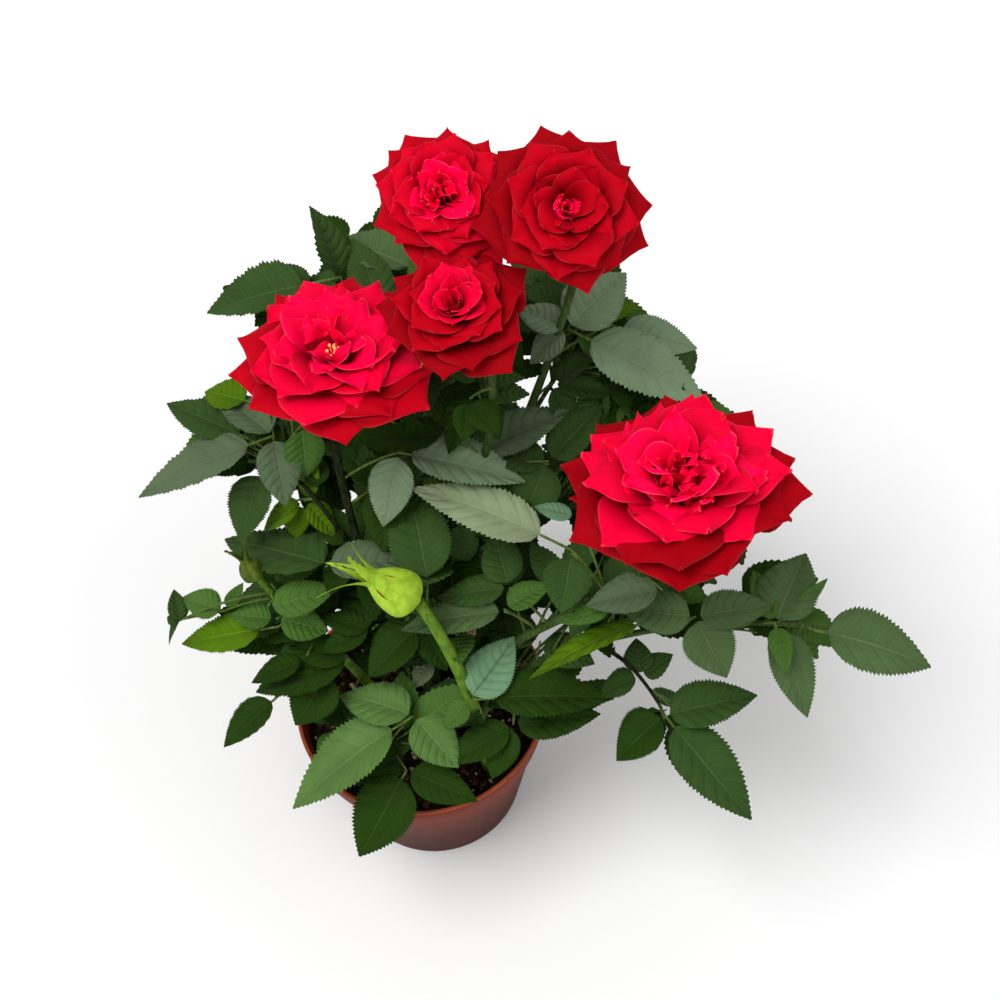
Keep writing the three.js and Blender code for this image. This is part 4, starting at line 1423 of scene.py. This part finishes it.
bm = bmesh.new()
stamen_rng = random.Random(4)
for name, (count, ring) in STAMEN_BLOOMS.items():
    centre, faces, radius, depth, *_ = BLOOMS[name]
    pose = facing(centre, faces)
    for _ in range(count):
        turn, out = stamen_rng.uniform(0, math.tau), radius * ring * math.sqrt(stamen_rng.random())
        foot = pose @ (turned(STAMEN_FEET * out, turn, STAMEN_FROM * depth) * MM)
        head = pose @ (turned(out, turn, stamen_rng.uniform(0.02, 0.16) * depth) * MM)
        tube(bm, arc(foot, head, Vector(), 2), [STAMEN_RADIUS] * 3, STAMEN_SIDES)
        bmesh.ops.create_icosphere(bm, subdivisions=1, radius=1.0, matrix=Matrix.Translation(head) @ ANTHER)
finish_closed("stamens", bm, [stamen_gold], "bud")

# %% [markdown]
# ## Buds
#
# A bud is a green egg wrapped in five sepals. Each sepal lies a little over the next
# one, and its long feathery point curls away from the bud. At the tip of the large bud
# the first red of the petals shows, and the small one is still closed. The egg is a tube
# with a swelling radius, whose last rings take the petal finish. The rest of the egg is a
# darker green, painted shade for the seams between the sepals.

# %% Bud table and sepals
# foot, the way it points, radius, length, how far the sepal points stand beyond it, the
# share of its length from which red shows (1 or more for a closed bud), the finish of its
# sepals and their seed
BUDS = {
    "bud_large": ((8.2, -20, 195.5), (-0.77, 0.29, 0.57), 8.4, 20, 17, 0.72, sepal_green, 9),
    "bud_small": ((-56, 10.5, 177), (-0.2, 0.2, 1.0), 4.2, 10, 10, 2.0, sepal_olive, 2),
}
BUD_PROFILE = (0.42, 0.80, 0.97, 1.0, 0.98, 0.93, 0.85, 0.73, 0.56, 0.34)
BUD_SIDES = 20
SEPAL_ROWS, SEPAL_COLUMNS = 22, 6
SEPAL_HALF, SEPAL_DRAWN, POINT_HALF = 1.25, 1.95, 0.10
SEPAL_KEEL, SEPAL_LAP, SEPAL_CLEAR = 0.14, 0.12, 0.15
FEATHER = 0.03
WIDEST_WRAP = 0.72
HUG_TO = 0.85


def bud_girth(rise, radius, length):
    """Radius of the bud's body at a height, in millimetres."""
    body = min(rise / length, 1.0) * (len(BUD_PROFILE) - 1)
    low = min(int(body), len(BUD_PROFILE) - 2)
    return radius * mix(BUD_PROFILE[low], BUD_PROFILE[low + 1], body - low)


def sepal(bm, pose, turn, radius, length, points, rng):
    """One sepal: it hugs the body, then its feathered point curls away from it."""
    curl, sway = rng.uniform(0.004, 0.03), rng.uniform(-0.03, 0.03)
    across_axis = Vector((-math.sin(turn), math.cos(turn), 0.0))
    for vert in unit_grid(bm, SEPAL_COLUMNS, SEPAL_ROWS):
        across, share = across_and_share(vert)
        rise = share * (length + points)
        beyond = max(0.0, rise - HUG_TO * length)
        keel = SEPAL_KEEL * radius * (1.0 - abs(across)) * (1.0 - share)
        lap = SEPAL_LAP * (1.0 + across)
        girth = max(bud_girth(rise, radius, length), 0.12 * radius) + SEPAL_CLEAR + keel + lap
        half = SEPAL_HALF * radius * (1.0 - share) ** SEPAL_DRAWN + POINT_HALF
        if round(share * SEPAL_ROWS) % 2 and beyond > 0.0:
            half += FEATHER * radius
        angle = turn + across * min(half / girth, WIDEST_WRAP)
        reach = girth + curl * beyond * beyond
        place = turned(reach, angle, rise - 0.3 * curl * beyond * beyond)
        place += across_axis * sway * beyond * beyond
        vert.co = pose @ (place * MM)


print("buds", ", ".join(BUDS))

# %% Bud meshes
for name, (foot, faces, radius, length, points, red_from, finish, seed) in BUDS.items():
    pose, rng = facing(foot, faces), random.Random(seed)
    bm = new_bmesh()
    rings = len(BUD_PROFILE)
    line = [pose @ Vector((0.0, 0.0, length * i / (rings - 1) * MM)) for i in range(rings)]
    tube(bm, line, [radius * r * MM for r in BUD_PROFILE], BUD_SIDES)
    bmesh.ops.recalc_face_normals(bm, faces=bm.faces)
    # below the red the body takes the darker bud finish, painted shade in the seams between the sepals
    for face in bm.faces:
        red = (pose.inverted() @ face.calc_center_median()).z > red_from * length * MM
        face.material_index = 1 if red else 2
    for i in range(SEPALS):
        sepal(bm, pose, math.tau * (i + 0.3) / SEPALS, radius, length, points, rng)
    finish_piece(name + "_wrapped", bm, [finish, petal_finishes[3], bud_body_painted_shade], "bud", [name])

# %% [markdown]
# ## The pot
#
# The pot is a surface of revolution: a profile of the tapered wall, the step under the
# collar, the rim, and the inside is spun round the axis. The sharp rings are then
# bevelled, because moulded plastic has no knife edges.

# %% Pot mesh
RIM_RADIUS = 55.0
POT_BASE = 39.0
COLLAR_HEIGHT = 14.0
COLLAR_FOOT = 53.0
COLLAR_STEP = 1.5
WALL = 1.6
POT_FLOOR = 2.0
POT_STEPS = 112
SHARP_FROM = math.radians(25)

pot_top = POT_TOP / MM
collar_foot = pot_top - COLLAR_HEIGHT
pot_profile = (
    (0.0, 0.0),
    (POT_BASE, 0.0),
    (COLLAR_FOOT - COLLAR_STEP, collar_foot),
    (COLLAR_FOOT, collar_foot),
    (RIM_RADIUS, pot_top),
    (RIM_RADIUS - WALL, pot_top),
    (COLLAR_FOOT - COLLAR_STEP - WALL, collar_foot),
    (POT_BASE - WALL, POT_FLOOR),
    (0.0, POT_FLOOR),
)
bm = bmesh.new()
corners = [bm.verts.new(point(radius, 0.0, height)) for radius, height in pot_profile]
edges = [bm.edges.new(pair) for pair in zip(corners, corners[1:])]
bmesh.ops.spin(
    bm, geom=corners + edges, axis=UP, angle=math.tau, steps=POT_STEPS, use_merge=True, use_duplicate=False
)
bmesh.ops.remove_doubles(bm, verts=bm.verts, dist=0.01 * MM)
bmesh.ops.recalc_face_normals(bm, faces=bm.faces)
sharp = [edge for edge in bm.edges if edge.is_manifold and edge.calc_face_angle() > SHARP_FROM]
rounding = {"offset": 0.45 * MM, "segments": 2, "profile": 0.5, "clamp_overlap": True}
bmesh.ops.bevel(bm, geom=sharp, affect="EDGES", material=-1, **rounding)
finish_piece("pot_moulded", bm, [pot_plastic], "pot", ["pot"])

# %% [markdown]
# ## The soil
#
# The bed is a grid squeezed into a disc and roughened with noise. Over it lie shreds of
# bark and crumbs of perlite: small icospheres, each stretched and turned at random.

# %% Soil bed
BED_RADIUS = 51.0
BED_CELLS = 70
BED_DROP = 0.4
BUMPS = ((1.3, 0.09), (0.9, 0.35), (0.5, 1.1))

bm = bmesh.new()
for vert in unit_grid(bm, BED_CELLS, BED_CELLS):
    x, y = vert.co.x, vert.co.y
    flat = Vector((x * math.sqrt(1 - y * y / 2), y * math.sqrt(1 - x * x / 2), 0.0)) * BED_RADIUS
    bumps = sum(height * noise.noise(flat * scale) for height, scale in BUMPS)
    vert.co = point(flat.x, flat.y, SOIL_TOP - BED_DROP + bumps)
finish_piece("soil_bed", bm, [soil_bed], "soil", ["soil"])

# %% Bark and perlite


def scatter(name, count, low, high, flatness, finish, seed):
    """Strews `count` lumps over the bed, between `low` and `high` millimetres in radius."""
    rng = random.Random(seed)
    bm = bmesh.new()
    for _ in range(count):
        turn, out = rng.uniform(0, math.tau), (BED_RADIUS - 2.0) * math.sqrt(rng.random())
        place = turned(out, turn, SOIL_TOP + rng.uniform(-0.3, 0.9)) * MM
        size = rng.uniform(low, high) * MM
        stretch = Matrix.Diagonal((size, size * rng.uniform(0.5, 0.9), size * flatness, 1.0))
        spin = Matrix.Rotation(rng.uniform(0, math.tau), 4, "Z")
        tilt = Matrix.Rotation(rng.uniform(-0.6, 0.6), 4, "X")
        lump = bmesh.ops.create_icosphere(bm, subdivisions=1, radius=1.0)["verts"]
        for vert in lump:
            vert.co *= rng.uniform(0.75, 1.2)
        pose = Matrix.Translation(place) @ (spin @ tilt) @ stretch
        bmesh.ops.transform(bm, matrix=pose, verts=lump)
    finish_piece(name, bm, [finish], "soil")


scatter("bark_shreds", 420, 0.8, 2.6, 0.35, bark_shred, 61)
scatter("perlite_crumbs", 190, 0.5, 1.5, 0.75, perlite, 62)
scatter("pale_flakes", 60, 1.2, 2.8, 0.35, perlite, 63)

# %% Measure and finish
print("pieces", len(pieces))
